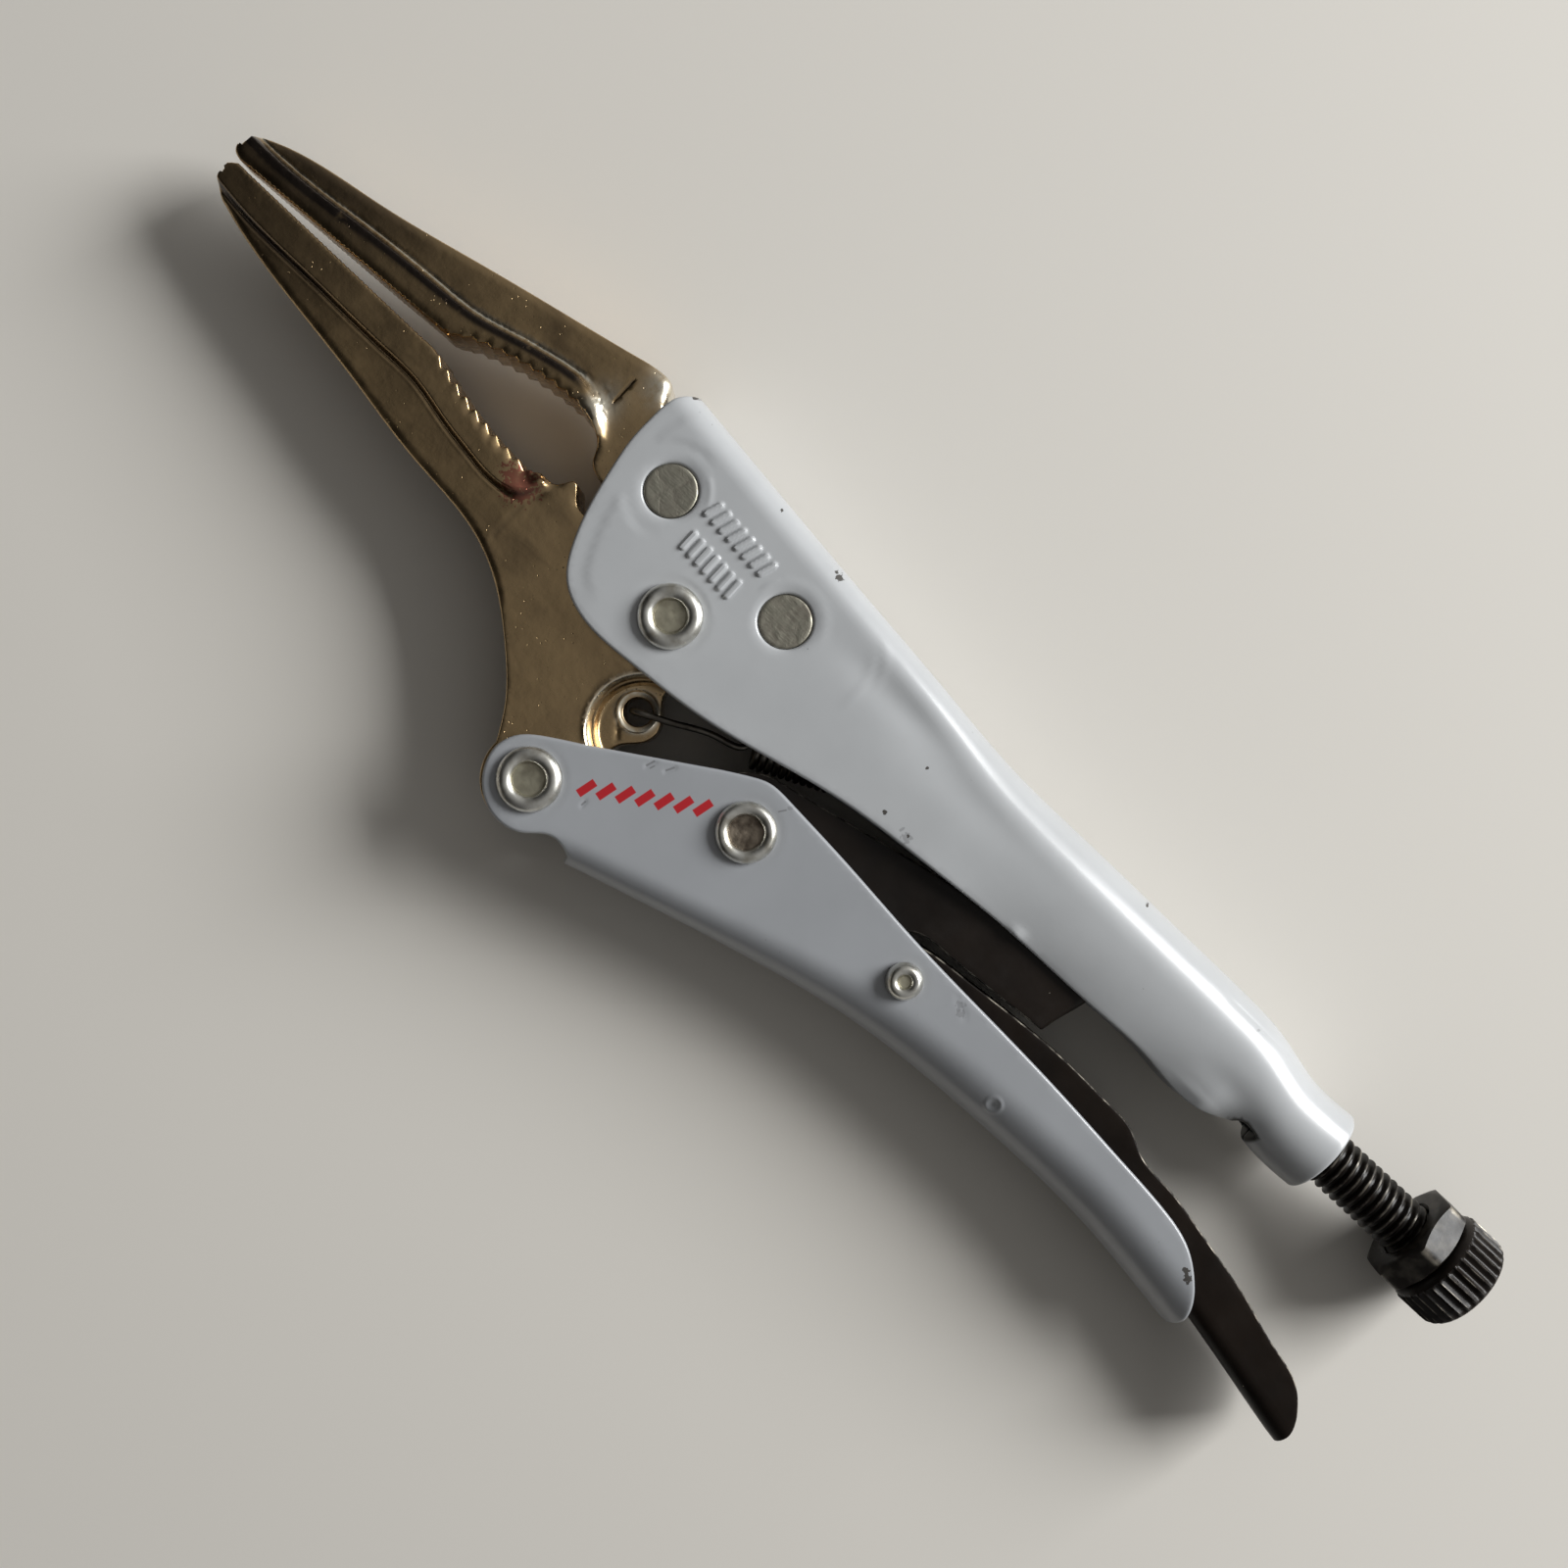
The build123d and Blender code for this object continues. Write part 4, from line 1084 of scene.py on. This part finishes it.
def border(points, edge, closing):
    """Signed distance from the pad's border, positive on the pad."""
    line = spline(edge, 0.2)
    near = np.clip(nearest(points, line)[0], 1, len(line) - 2)
    away = np.minimum(to_segment(points, line[near - 1], line[near]),
                      to_segment(points, line[near], line[near + 1]))
    rim = np.vstack([line, closing])
    return away * np.where(enclosed(points, rim, np.roll(rim, -1, axis=0)), 1, -1)


def half_at(x, tip, root):
    """Half thickness of a tapering nose at x."""
    return tip + (root - tip) * np.clip((x - NOSE_TIP) / NOSE_LENGTH, -0.2, 1)


def jaw_heights(region, root, pad_edge, closing, ease, sparkle):
    """Half thickness of a forged jaw: a tapering web, the raised pad, and a groove along its border."""
    xy = region.points
    away = border(xy, pad_edge, closing)
    reach = 0.3 + ease(xy[:, 0])
    base = half_at(xy[:, 0], WEB_TIP, root)
    height = base + smooth(-1.0, 1.0, away / reach) * (half_at(xy[:, 0], *PAD_HALF) - base)
    nose = smooth(-17.5, -19.5, xy[:, 0])
    height -= 0.06 * nose * bell(away + reach + 0.1, 0.11)
    height += 0.02 * nose * bell(away + reach + 0.32, 0.1)
    height -= 0.006 * (1 + rough(xy, 3.4, 11)) + 0.004 * (1 + rough(xy, 0.9, 12))
    height -= sparkle * nose * (1 + rough(xy, 0.5, 14)) * bell(away + 0.15, 0.4)
    return height, away


def forging(region, z, painted_shade, glint_places):
    """A jaw's skin, the same on both sides, and its layer: painted shade off the rim, and painted glints."""
    painted_shade = np.clip(painted_shade * smooth(0.02, 0.3, region.distance), 0, 1)
    wear_and_painted_light = np.clip(painted_shade - glint_places, -1, 1)
    return region.plate(z), np.concatenate([wear_and_painted_light, wear_and_painted_light])


def heel_run(start, end, centre, radius):
    """The round end of a jaw between two edges: straight on to the circle, round it, and off again."""
    a, b = bearing(start, centre), bearing(end, centre)
    while b < a:
        b += 2 * math.pi
    turn = np.linspace(a, b, max(8, int(radius * (b - a) / 0.3)))
    full = np.stack([centre[0] + radius * np.cos(turn), centre[1] + radius * np.sin(turn)], 1)
    reach_a, reach_b = np.linalg.norm(start - centre), np.linalg.norm(end - centre)
    share = np.linspace(0, 1, len(turn))[:, None]
    early, late = smooth(0.0, 0.12, share), smooth(1.0, 0.88, share)
    wanted = radius + (reach_a - radius) * (1 - early) + (reach_b - radius) * (1 - late)
    return centre + (full - centre) * wanted / radius


def moving_jaw_skin():
    """The lower jaw: coarse teeth, the spring's lug with its eye, and the heel for the lever's rivet."""
    crest = lambda x: 1.3 + 0.0101 * (x + 20.0) ** 2
    grip = [(-63.4, 4.0), *fine_teeth((-62.4, 3.98), (-37.0, 3.66), -1), (-36.0, 3.65)]
    grip += tooth_row(-34.9, -20.3, crest, -1)
    lug = [tuple(p) for p in spline(MOVING_LUG, 0.3)]
    outer = spline(MOVING_OUTER_EDGE, 0.3)
    back = spline(MOVING_BACK_EDGE, 0.3)
    heel = heel_run(outer[-1], back[0], LEVER_PIVOT, 5.2)
    boss = heel_run(back[-1], np.array(MOVING_LUG[-1]), JAW_PIVOT, 5.7)
    tip = spline([(-62.5, 0.15), (-64.1, 1.5), (-64.5, 2.9), (-63.4, 4.0)], 0.2)
    loop = joined(outer, heel, back, boss, polyline((grip + lug)[::-1], 0.22), tip[::-1])
    holes = [circle(SPRING_EYE, 1.45, 48), circle(JAW_PIVOT, 2.3, 48), circle(LEVER_PIVOT, 2.3, 48)]
    rings = [circle(STEP_CENTRE, STEP_RADIUS + offset, 130) for offset in STEP_OFFSETS]
    rings += [circle(SPRING_EYE, radius, 60) for radius in (1.78, 1.9, 2.05, 2.2, 2.4)]
    lines = np.vstack([beside(spline(MOVING_PAD_EDGE, 0.24), BORDER_OFFSETS), *rings])
    region = Region([loop, *holes], 0.32, EDGE, lines=lines)
    xy = region.points
    x, y = xy[:, 0], xy[:, 1]
    closing = np.array([(-19.2, 1.75), (-20.0, 3.0), (-64.5, 6.0)])
    height, away = jaw_heights(region, 3.8, MOVING_PAD_EDGE, closing,
                               lambda x: 0.5 * smooth(-22.0, -18.5, x), 0.02)
    height -= 0.5 * bell(away_from(xy, (-19.7, 0.1), (1.5, 1.1)), 1.0)
    step = away_from(xy, STEP_CENTRE)
    share = 0.5 * smooth(5.62, 5.12, step) + 0.5 * smooth(5.0, 4.4, step)
    height += share * (1.97 - height)
    height += 0.09 * bell(step - 5.8, 0.18)
    eye = away_from(xy, SPRING_EYE)
    height += share * 0.16 * bell(eye - 2.0, 0.17)
    height -= share * 0.14 * bell(to_segment(xy, (2.9, -11.3), (4.1, -12.7)), 0.22)
    crease = to_segment(xy, (-18.6, -2.0), (-18.6, -6.0))
    height -= 0.02 * bell(crease, 0.3)
    height = np.minimum(height, half_at(x, *PAD_HALF))
    outside = smooth(1.2, -0.2, y - 0.04 * (x + 60)) * smooth(-12.0, -16.0, x)
    z = height - rounded(region.distance, EDGE) - 0.2 * outside * smooth(0.7, 0.0, region.distance)
    # Painted shade along the pad's border, the lug's step and the crease, and toward the tip.
    painted_shade = 0.7 * smooth(-17.5, -19.5, x) * bell(away + 0.12, 0.3) + 0.5 * bell(step - 5.1, 0.2)
    painted_shade += 0.55 * smooth(-38, -60, x) + 0.4 * bell(crease, 0.2)
    # Painted glints on the lug's step ring and round the spring's eye.
    return forging(region, z, painted_shade, bell(step - 5.45, 0.3) + share * bell(eye - 2.0, 0.3))


def fixed_jaw_skin():
    """The upper jaw: coarse teeth, the throat behind them, and the tang inside the handle."""
    crest = lambda x: 9.2 - 0.0166 * (x + 21.5) ** 2
    grip = [(-63.6, 4.35), *fine_teeth((-62.6, 4.4), (-37.0, 5.5), 1), (-36.0, 5.55)]
    grip += tooth_row(-34.6, -21.0, crest, 1, depth=0.34, lean=0.62)
    outer = spline(FIXED_OUTER_EDGE, 0.3)
    throat = spline(FIXED_THROAT_EDGE, 0.25)
    relief = [(6.4 * math.cos(t), 6.4 * math.sin(t)) for t in np.linspace(math.pi * 0.69, math.pi * 0.21, 26)]
    tang = [(-14.6, 5.2), (-4.6, 5.2), *relief[3:-3], (6.4, 3.4), (11.6, 3.4), (13.2, 5.6), (13.0, 10.0),
            (11.5, 11.6), (0.0, 13.0), (-13.2, 14.7), (-14.8, 14.9), (-15.2, 16.0)]
    tip = spline([(-63.9, 7.6), (-64.6, 6.9), (-64.98, 5.9), (-64.6, 4.75), (-63.6, 4.35)], 0.2)
    loop = joined(outer, polyline(tang[::-1]), throat[::-1], polyline(grip[::-1], 0.22), tip[::-1])
    holes = [circle(FRONT_PIN, 2.72, 48), circle(REAR_PIN, 2.72, 48)]
    crease_line = [(-18.9, 12.0), (-19.0, 13.4), (-18.85, 14.8)]
    lines = np.vstack([beside(spline(FIXED_PAD_EDGE, 0.24), BORDER_OFFSETS),
                       beside(spline(crease_line, 0.2), CREASE_OFFSETS)])
    region = Region([loop, *holes], 0.32, EDGE, lines=lines)
    xy = region.points
    x = xy[:, 0]
    closing = np.array([(-18.4, 8.0), (-20.2, 7.0), (-65.5, 3.5)])
    height, away = jaw_heights(region, 3.95, FIXED_PAD_EDGE, closing,
                               lambda x: 0.75 * smooth(-24.5, -19.5, x), 0.06)
    crease = to_segment(xy, crease_line[0], crease_line[2])
    height -= 0.14 * bell(crease, 0.1)
    height = np.minimum(height, np.where(x > -15.5, 3.93, half_at(x, *PAD_HALF)))
    corner = bell(away_from(xy, (-15.9, 16.6)), 2.0)
    slope = 0.15 * smooth(-14.0, -20.0, x) * smooth(0.7, 0.0, region.distance)
    z = height - rounded(region.distance, EDGE) - slope - corner * rounded(region.distance, 1.1)
    nose = smooth(-20.5, -24.0, x)
    # Painted shade along the pad's border and the crease, and toward the tip.
    painted_shade = 1.1 * nose * smooth(-0.1, 0.25, away) * smooth(1.25, 0.6, away)
    painted_shade += 0.9 * bell(crease, 0.2) + 0.75 * smooth(-34, -58, x)
    # Painted glints at the web's root, the rear corner and along the pad's border.
    root = bell(away_from(xy, (-19.6, 10.6), (1.6, 2.2)), 1.0)
    return forging(region, z, painted_shade, root + corner + 1.6 * nose * bell(away + 0.42, 0.2))


# ---------------------------------------------------------------- rivets and pins
def rivet_skin(centre, shank, head, crest, floor, depth, proud):
    """A rivet through both cheeks: a rolled ring round a flat-floored bowl on top, a low plain head below."""
    top = CHEEK + proud
    bottom = top - depth
    wall, wall_foot = floor + 0.03, bottom + 0.04
    upper = [(r, bottom - 0.03 * (1 - (r / floor) ** 2)) for r in np.linspace(0.001, floor - 0.1, 8)]
    upper += [(floor - 0.06, bottom - 0.05), (floor, bottom - 0.05), (wall, wall_foot)]
    for turn in np.linspace(0.12, 1, 12) * math.pi / 2:
        upper.append((crest - (crest - wall) * math.cos(turn), wall_foot + (depth - 0.04) * math.sin(turn)))
    for turn in np.linspace(0.06, 1, 16) * math.pi / 2:
        upper.append((crest + (head - crest) * math.sin(turn), top - (proud - 0.12) * (1 - math.cos(turn))))
    upper += [(head - 0.02, CHEEK - 0.02), (shank, CHEEK - 0.02)]
    lower = [(shank, 0.02), (head, 0.02), (head, -0.35), (head - 0.12, -0.75), (head - 0.5, -0.97),
             (head - 0.9, -1.0), (0.001, -1.0)]
    lower = [(radius, height - CHEEK) for radius, height in lower]
    profile = np.vstack([upper, round_profile(lower, 0.12, 4)])

    def hammered(radius, turn, rows):
        return radius * (1 + 0.003 * np.sin(3 * turn + rows[:, 1:2]) + 0.002 * np.sin(7 * turn + 1.3))

    return moved(lathe(profile, 120, hammered), (*centre, 0))


def in_bowl(centre, floor):
    """A test for the points on the floor of a rivet's bowl."""
    return lambda points: (away_from(points[:, :2], centre) < floor + 0.01) & (points[:, 2] > 0)


def pin_skin(centre, seed):
    """A ground pin, sunk a little into both cheeks, with a slightly hollow mottled end."""
    top = CHEEK - 0.15
    rings = [(r, top - 0.03 + 0.03 * (r / 2.7) ** 2) for r in np.linspace(0.001, 2.52, 12)]
    upper = [*rings, (2.62, top - 0.03), (2.69, top - 0.12)]
    points, faces = lathe([*upper, *[(r, -z) for r, z in reversed(upper)]], 96)
    mottle = 0.014 * (1 + rough(points[:, :2], 1.4, seed))
    points[:, 2] -= np.where(np.abs(points[:, 2]) > top - 0.06, mottle * np.sign(points[:, 2]), 0)
    return moved((points, faces), (*centre, 0))


# ---------------------------------------------------------------- screw, nut and knob
THREAD_CREST, THREAD_ROOT, THREAD_SHIFT = 2.93, 2.38, 0.77
SCREW_TIP, SCREW_END = 60.4, 100.4
KNOB_START, KNOB_END, KNOB_RADIUS, FLUTES = 100.15, 105.5, 5.5, 33
NUT_START, NUT_END, NUT_FLATS, NUT_CORNER, NUT_FACE, NUT_BORE = 96.8, 100.0, 10.0, 5.7, 4.85, 3.02


def thread_radius(x, turn):
    """Radius of a right-hand M6 thread at x and an angle round the axis."""
    phase = np.mod(x - turn / (2 * math.pi) - THREAD_SHIFT, 1.0)
    near = np.minimum(phase, 1 - phase)
    flank = np.clip((near - 0.08) / 0.30, 0, 1)
    return THREAD_CREST - (THREAD_CREST - THREAD_ROOT) * (0.5 - 0.5 * np.cos(math.pi * flank)) ** 0.85


def screw_skin():
    """The threaded rod from its tip to the knob."""
    x = np.arange(SCREW_TIP, SCREW_END + 0.01, 0.085)

    def cut(radius, turn, rows):
        at = rows[:, 1:2]
        return np.minimum(thread_radius(at, turn[None, :]), 2.2 + (at - SCREW_TIP) * 1.1)

    return onto_x(lathe(np.column_stack([np.full(len(x), THREAD_CREST), x]), 72, cut))


def knob_skin():
    """The knob: a smooth front chamfer, straight knurling, and a strongly rounded flat end."""
    front, back, radius, round_off = KNOB_START, KNOB_END, KNOB_RADIUS, 1.2
    profile = [(0.001, front), (4.4, front), (4.75, front + 0.05), (5.12, front + 0.42), (5.22, front + 0.62)]
    profile += [(5.3, front + 0.75), (radius - 0.06, front + 0.95)]
    profile += [(radius, x) for x in np.linspace(front + 1.1, back - 1.3, 14)]
    profile += [(radius - round_off + round_off * math.cos(t), back - round_off + round_off * math.sin(t))
                for t in np.linspace(0, math.pi / 2, 9)]
    profile += [(3.9, back - 0.01), (3.6, back - 0.07), (1.2, back - 0.09), (0.001, back - 0.09)]

    def knurl(made, turn, rows):
        x = rows[:, 1:2]
        share = smooth(front + 0.72, front + 1.05, x) * smooth(back - 0.12, back - 0.85, x)
        share = share * smooth(4.3, 4.9, rows[:, 0:1])
        return made - 0.42 * share * np.abs(np.sin(FLUTES * turn[None, :] / 2))

    return onto_x(lathe(profile, FLUTES * 12, knurl))


def from_axis(points):
    """Distance of each point from the screw's axis."""
    return np.hypot(points[:, 1] - AXIS_Y, points[:, 2])


def screw_and_knob_skin():
    """The adjusting screw, bare on the crests of its thread and its knurling and on the knob's end."""
    skin = merged(screw_skin(), knob_skin())
    x, radius = skin[0][:, 0], from_axis(skin[0])
    knurled = smooth(100.9, 101.2, x)
    thread = 0.35 * smooth(2.84, THREAD_CREST, radius) * (1 - knurled) * (x < 100)
    knob = 0.85 * knurled * smooth(5.38, 5.47, radius)
    return skin, thread + knob + 0.5 * knurled * smooth(105.2, 105.4, x)


def nut_skin():
    """A thin hexagon nut, chamfered on both faces and bare at its corners."""
    count = 96
    turn = 2 * math.pi * np.arange(count) / count
    local = np.mod(turn - math.radians(66.0) + math.pi / 6, math.pi / 3) - math.pi / 6
    hexagon = np.minimum(NUT_FLATS / 2 / np.cos(local), NUT_CORNER)
    chamfer = (hexagon - NUT_FACE) * math.tan(math.radians(28))
    face = [(NUT_BORE, 0.35), (3.35, 0.0), (4.55, 0.0), (NUT_FACE, 0.06)]
    corner = [(hexagon - 0.05, 0.06 + chamfer * 0.96), (hexagon, 0.1 + chamfer)]
    rings = [(radius, NUT_START + x) for radius, x in face + corner]
    rings += [(hexagon, NUT_START + 0.7 + (NUT_END - NUT_START - 1.4) * t) for t in (0, 0.5, 1)]
    rings += [(radius, NUT_END - x) for radius, x in reversed(face + corner)]
    rings += [(NUT_BORE, NUT_START + 0.35)]
    points = np.vstack([
        np.stack([np.broadcast_to(x, count), AXIS_Y + radius * np.cos(turn), radius * np.sin(turn)], 1)
        for radius, x in rings
    ])
    faces = np.roll(sides(len(rings), count), -1, axis=1).tolist()
    return (points, faces), 0.8 * smooth(5.62, NUT_CORNER, from_axis(points)) + 0.12


# ---------------------------------------------------------------- spring
COIL_START, COIL_LENGTH, COIL_RADIUS, COIL_PITCH, WIRE_RADIUS = 12.0, 15.0, 1.75, 0.78, 0.35


def spring_skin():
    """An extension coil with a hook at each end, from the moving jaw's eye to the handle's tab."""
    start, end = np.array([*SPRING_EYE, 0.0]), np.array([*SPRING_ANCHOR, 0.0])
    length = np.linalg.norm(end - start)
    ahead = (end - start) / length
    up = np.array([0.0, 0.0, 1.0])
    side = np.cross(up, ahead)
    turns = COIL_LENGTH / COIL_PITCH
    t = np.linspace(0, turns, int(turns * 26))
    angle = 2 * math.pi * t
    x, y = COIL_RADIUS * np.cos(angle), COIL_RADIUS * np.sin(angle)
    coil = np.column_stack([x, y, COIL_START + COIL_PITCH * t])
    near = spline([
        (-2.0, 0, 3.4), (-2.45, 0, 1.2), (-2.2, 0, -0.35), (-1.2, 0, -0.62), (1.2, 0, -0.62), (2.2, 0, -0.35),
        (2.45, 0, 1.2), (2.42, 0, 4.0), (2.15, 0, 8.5), (1.85, -0.15, 11.2), tuple(coil[3]),
    ], 0.16)
    far = spline([
        tuple(coil[-3]), (1.35, 0.3, 27.9), (1.38, 0, 29.5), (1.38, 0, length - 1.0), (1.1, 0, length + 0.1),
        (0.0, 0, length + 0.3), (-1.1, 0, length + 0.1), (-1.38, 0, length - 1.0), (-1.38, 0, 30.4),
    ], 0.16)
    path = np.vstack([near[:-1], coil[3:-3], far])
    return tube(start + path[:, :1] * up + path[:, 1:2] * side + path[:, 2:3] * ahead, WIRE_RADIUS)


# ---------------------------------------------------------------- assembly
# Chips and scuffs: place and radius. Scratches and stripes: both ends and half width.
HANDLE_CHIPS = [
    (9.6, 14.3, 0.36), (9.1, 14.55, 0.2), (-13.1, 17.8, 0.3), (0.9, 15.3, 0.16), (28.7, 0.3, 0.26),
    (54.6, 11.4, 0.2), (28.9, 6.3, 0.14), (32.1, 0.1, 0.13),
]
LEVER_CHIPS = [(81.6, -12.8, 0.34), (82.1, -13.2, 0.38), (82.5, -13.5, 0.22)]
HANDLE_SCUFFS = [(32.1, -0.1, 0.45), (31.2, 0.2, 0.22), (70.9, 9.6, 0.2)]
LEVER_SCUFFS = [(47.3, -8.75, 0.42), (47.9, -9.3, 0.36), (21.6, -5.9, 0.28), (*DIMPLE, 0.2)]
LEVER_SCRATCHES = [
    ((8.3, -12.45), (8.62, -11.5), 0.1), ((8.75, -12.4), (8.95, -11.85), 0.07),
    ((10.05, -11.5), (10.5, -10.65), 0.1), ((6.25, -19.7), (6.3, -19.1), 0.09),
    ((21.0, -6.9), (21.5, -6.2), 0.08),
]
STRIPES = [((x - 0.05, y - 0.72), (x + 0.42, y + 1.25), 0.42)
           for x, y in np.linspace((5.3, -18.35), (15.1, -11.95), 7)]

handle_enamel = enamel("enamel_fixed_handle", (0.43, 0.44, 0.45), 0.4, HANDLE_CHIPS, HANDLE_SCUFFS)
# Painted shade: the lever's enamel is the same paint as the handle's, tinted darker.
shaded_lever_enamel = enamel("enamel_lever_handle", (0.315, 0.325, 0.342), 0.3,
                      LEVER_CHIPS, LEVER_SCUFFS, LEVER_SCRATCHES, STRIPES)
jaw_finish = plated("dark_nickel", (0.55, 0.385, 0.2), (0.31, 0.215, 0.115), 0.05)
ring_finish = bright_metal("bright_nickel", (0.74, 0.73, 0.68), (0.42, 0.39, 0.32), 0.27, 0.4, 0.003)
bowl_finish = bright_metal("shank_end", (0.5, 0.47, 0.36), (0.3, 0.27, 0.2), 0.4, 0.55, 0.012)
rough_bowl = bright_metal("hammered_end", (0.27, 0.225, 0.175), (0.08, 0.06, 0.045), 0.35, 0.55, 0.03)
pin_finish = pin_metal("ground_steel")
black_finish = blackened("black_oxide", 0.36, 0.24)
release_finish = blackened("black_oxide_release", 0.4, 0.12)
screw_finish = blackened("black_screw", 0.33, 0.24)
spring_finish = bright_metal("spring_wire", (0.16, 0.145, 0.125), (0.07, 0.06, 0.05), 0.3, 0.45)

add_with_layer("fixed_handle_shell", "fixed_handle", handle_enamel, fixed_handle_skin(), "fixed_side")
add_with_layer("lever_handle_shell", "lever_handle", shaded_lever_enamel, lever_handle_skin(), "lever")
add_with_layer("fixed_jaw_forging", "fixed_jaw", jaw_finish, fixed_jaw_skin(), "fixed_side")
add_with_layer("moving_jaw_forging", "moving_jaw", jaw_finish, moving_jaw_skin(), "jaw")
add_with_layer("release_lever_pressing", "release_lever", release_finish, release_lever_skin(), "release")
add_with_layer("toggle_link_pressing", "toggle_link", black_finish, toggle_link_skin(), "link")
for node, centre, body, disc, *sizes in (
        ("jaw_pivot_rivet", JAW_PIVOT, "fixed_side", bowl_finish, 2.24, 3.3, 2.42, 1.66, 0.6, 1.0),
        ("lever_rivet", LEVER_PIVOT, "lever", bowl_finish, 2.24, 3.3, 2.42, 1.66, 0.6, 1.0),
        ("link_rivet", LINK_PIVOT, "lever", rough_bowl, 2.09, 3.12, 2.45, 1.72, 0.6, 1.0),
        ("release_rivet", RELEASE_PIVOT, "lever", bowl_finish, 1.19, 1.9, 1.2, 0.66, 0.4, 1.4)):
    add_piece(f"{node}_formed", node, ring_finish, rivet_skin(centre, *sizes), body,
              inlay=(disc, in_bowl(centre, sizes[3])))
add_piece("front_pin_ground", "jaw_pin_front", pin_finish, pin_skin(FRONT_PIN, 21), "fixed_side")
add_piece("rear_pin_ground", "jaw_pin_rear", pin_finish, pin_skin(REAR_PIN, 22), "fixed_side")
add_with_layer("adjusting_screw_and_knob", "adjusting_screw", screw_finish, screw_and_knob_skin(), "screw")
add_with_layer("lock_nut_hexagon", "lock_nut", screw_finish, nut_skin(), "nut")
spring = add_piece("return_spring_wire", "return_spring", spring_finish, spring_skin())
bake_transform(spring)


# ---------------------------------------------------------------- floor, light and camera
def make_floor():
    """A square of plain pale paper, 3 m wide."""
    mesh = bpy.data.meshes.new("floor")
    half = 1.5
    corners = [(-half, -half, 0), (half, -half, 0), (half, half, 0), (-half, half, 0)]
    mesh.from_pydata(corners, [], [(0, 1, 2, 3)])
    paper = Finish("floor_paper", (0.68, 0.65, 0.6), 0.0, 0.75)
    mesh.materials.append(paper.material)
    floor = bpy.data.objects.new("floor", mesh)
    bpy.context.scene.collection.objects.link(floor)


def add_light(name, place, size, power, colour):
    """A soft rectangular lamp aimed at the tool."""
    aim = Vector((0, 0, 0.006))
    light = bpy.data.lights.new(name, "AREA")
    light.shape = "RECTANGLE"
    light.size, light.size_y = size
    light.energy = power
    light.color = colour
    lamp = bpy.data.objects.new(name, light)
    lamp.location = place
    lamp.rotation_euler = (aim - Vector(place)).to_track_quat("-Z", "Y").to_euler()
    bpy.context.scene.collection.objects.link(lamp)


def make_world():
    """A dim room, lighter to the right of the picture than to the left."""
    world = bpy.data.worlds.new("studio")
    world.use_nodes = True
    tree = world.node_tree
    where = tree.nodes.new("ShaderNodeTexCoord")
    dot = tree.nodes.new("ShaderNodeVectorMath")
    dot.operation = "DOT_PRODUCT"
    dot.inputs[1].default_value = (0.733, 0.68, 0.0)
    tree.links.new(where.outputs["Generated"], dot.inputs[0])
    ramp = tree.nodes.new("ShaderNodeValToRGB")
    shift = tree.nodes.new("ShaderNodeMapRange")
    for index, number in ((1, -0.6), (2, 0.6), (3, 0.0), (4, 1.0)):
        shift.inputs[index].default_value = number
    tree.links.new(dot.outputs["Value"], shift.inputs[0])
    tree.links.new(shift.outputs[0], ramp.inputs[0])
    stops = ((0.0, 0.012), (0.17, 0.03), (0.3, 0.11), (0.42, 0.22), (1.0, 0.27))
    for i, (place, level) in enumerate(stops):
        stop = ramp.color_ramp.elements[i] if i < 2 else ramp.color_ramp.elements.new(place)
        stop.position = place
        stop.color = (level, level * 0.99, level * 0.97, 1)
    tree.links.new(ramp.outputs[0], tree.nodes["Background"].inputs["Color"])
    tree.nodes["Background"].inputs["Strength"].default_value = 1.0
    bpy.context.scene.world = world


def make_camera():
    """Straight above the tool, which lies across the picture from upper left to lower right."""
    height, half_view, turn = 188.0, 80.0, 42.85
    camera = bpy.data.cameras.new("camera")
    camera.sensor_width = 36.0
    camera.lens = camera.sensor_width / 2 / (half_view / height)
    camera.clip_start = 0.01
    holder = bpy.data.objects.new("camera", camera)
    holder.location = in_row_frame(19.55, -4.49, height)
    holder.rotation_euler = (0, 0, math.radians(turn))
    bpy.context.scene.collection.objects.link(holder)
    bpy.context.scene.camera = holder


make_floor()
make_world()
add_light("key", (0.495, 0.795, 0.4875), (0.6, 0.5), 17.2, (0.99, 1.0, 1.0))
add_light("edge", (-0.28, -0.26, 0.1), (0.3, 0.05), 0.04, (1.0, 0.95, 0.86))
make_camera()
bpy.context.scene.view_settings.view_transform = "Standard"
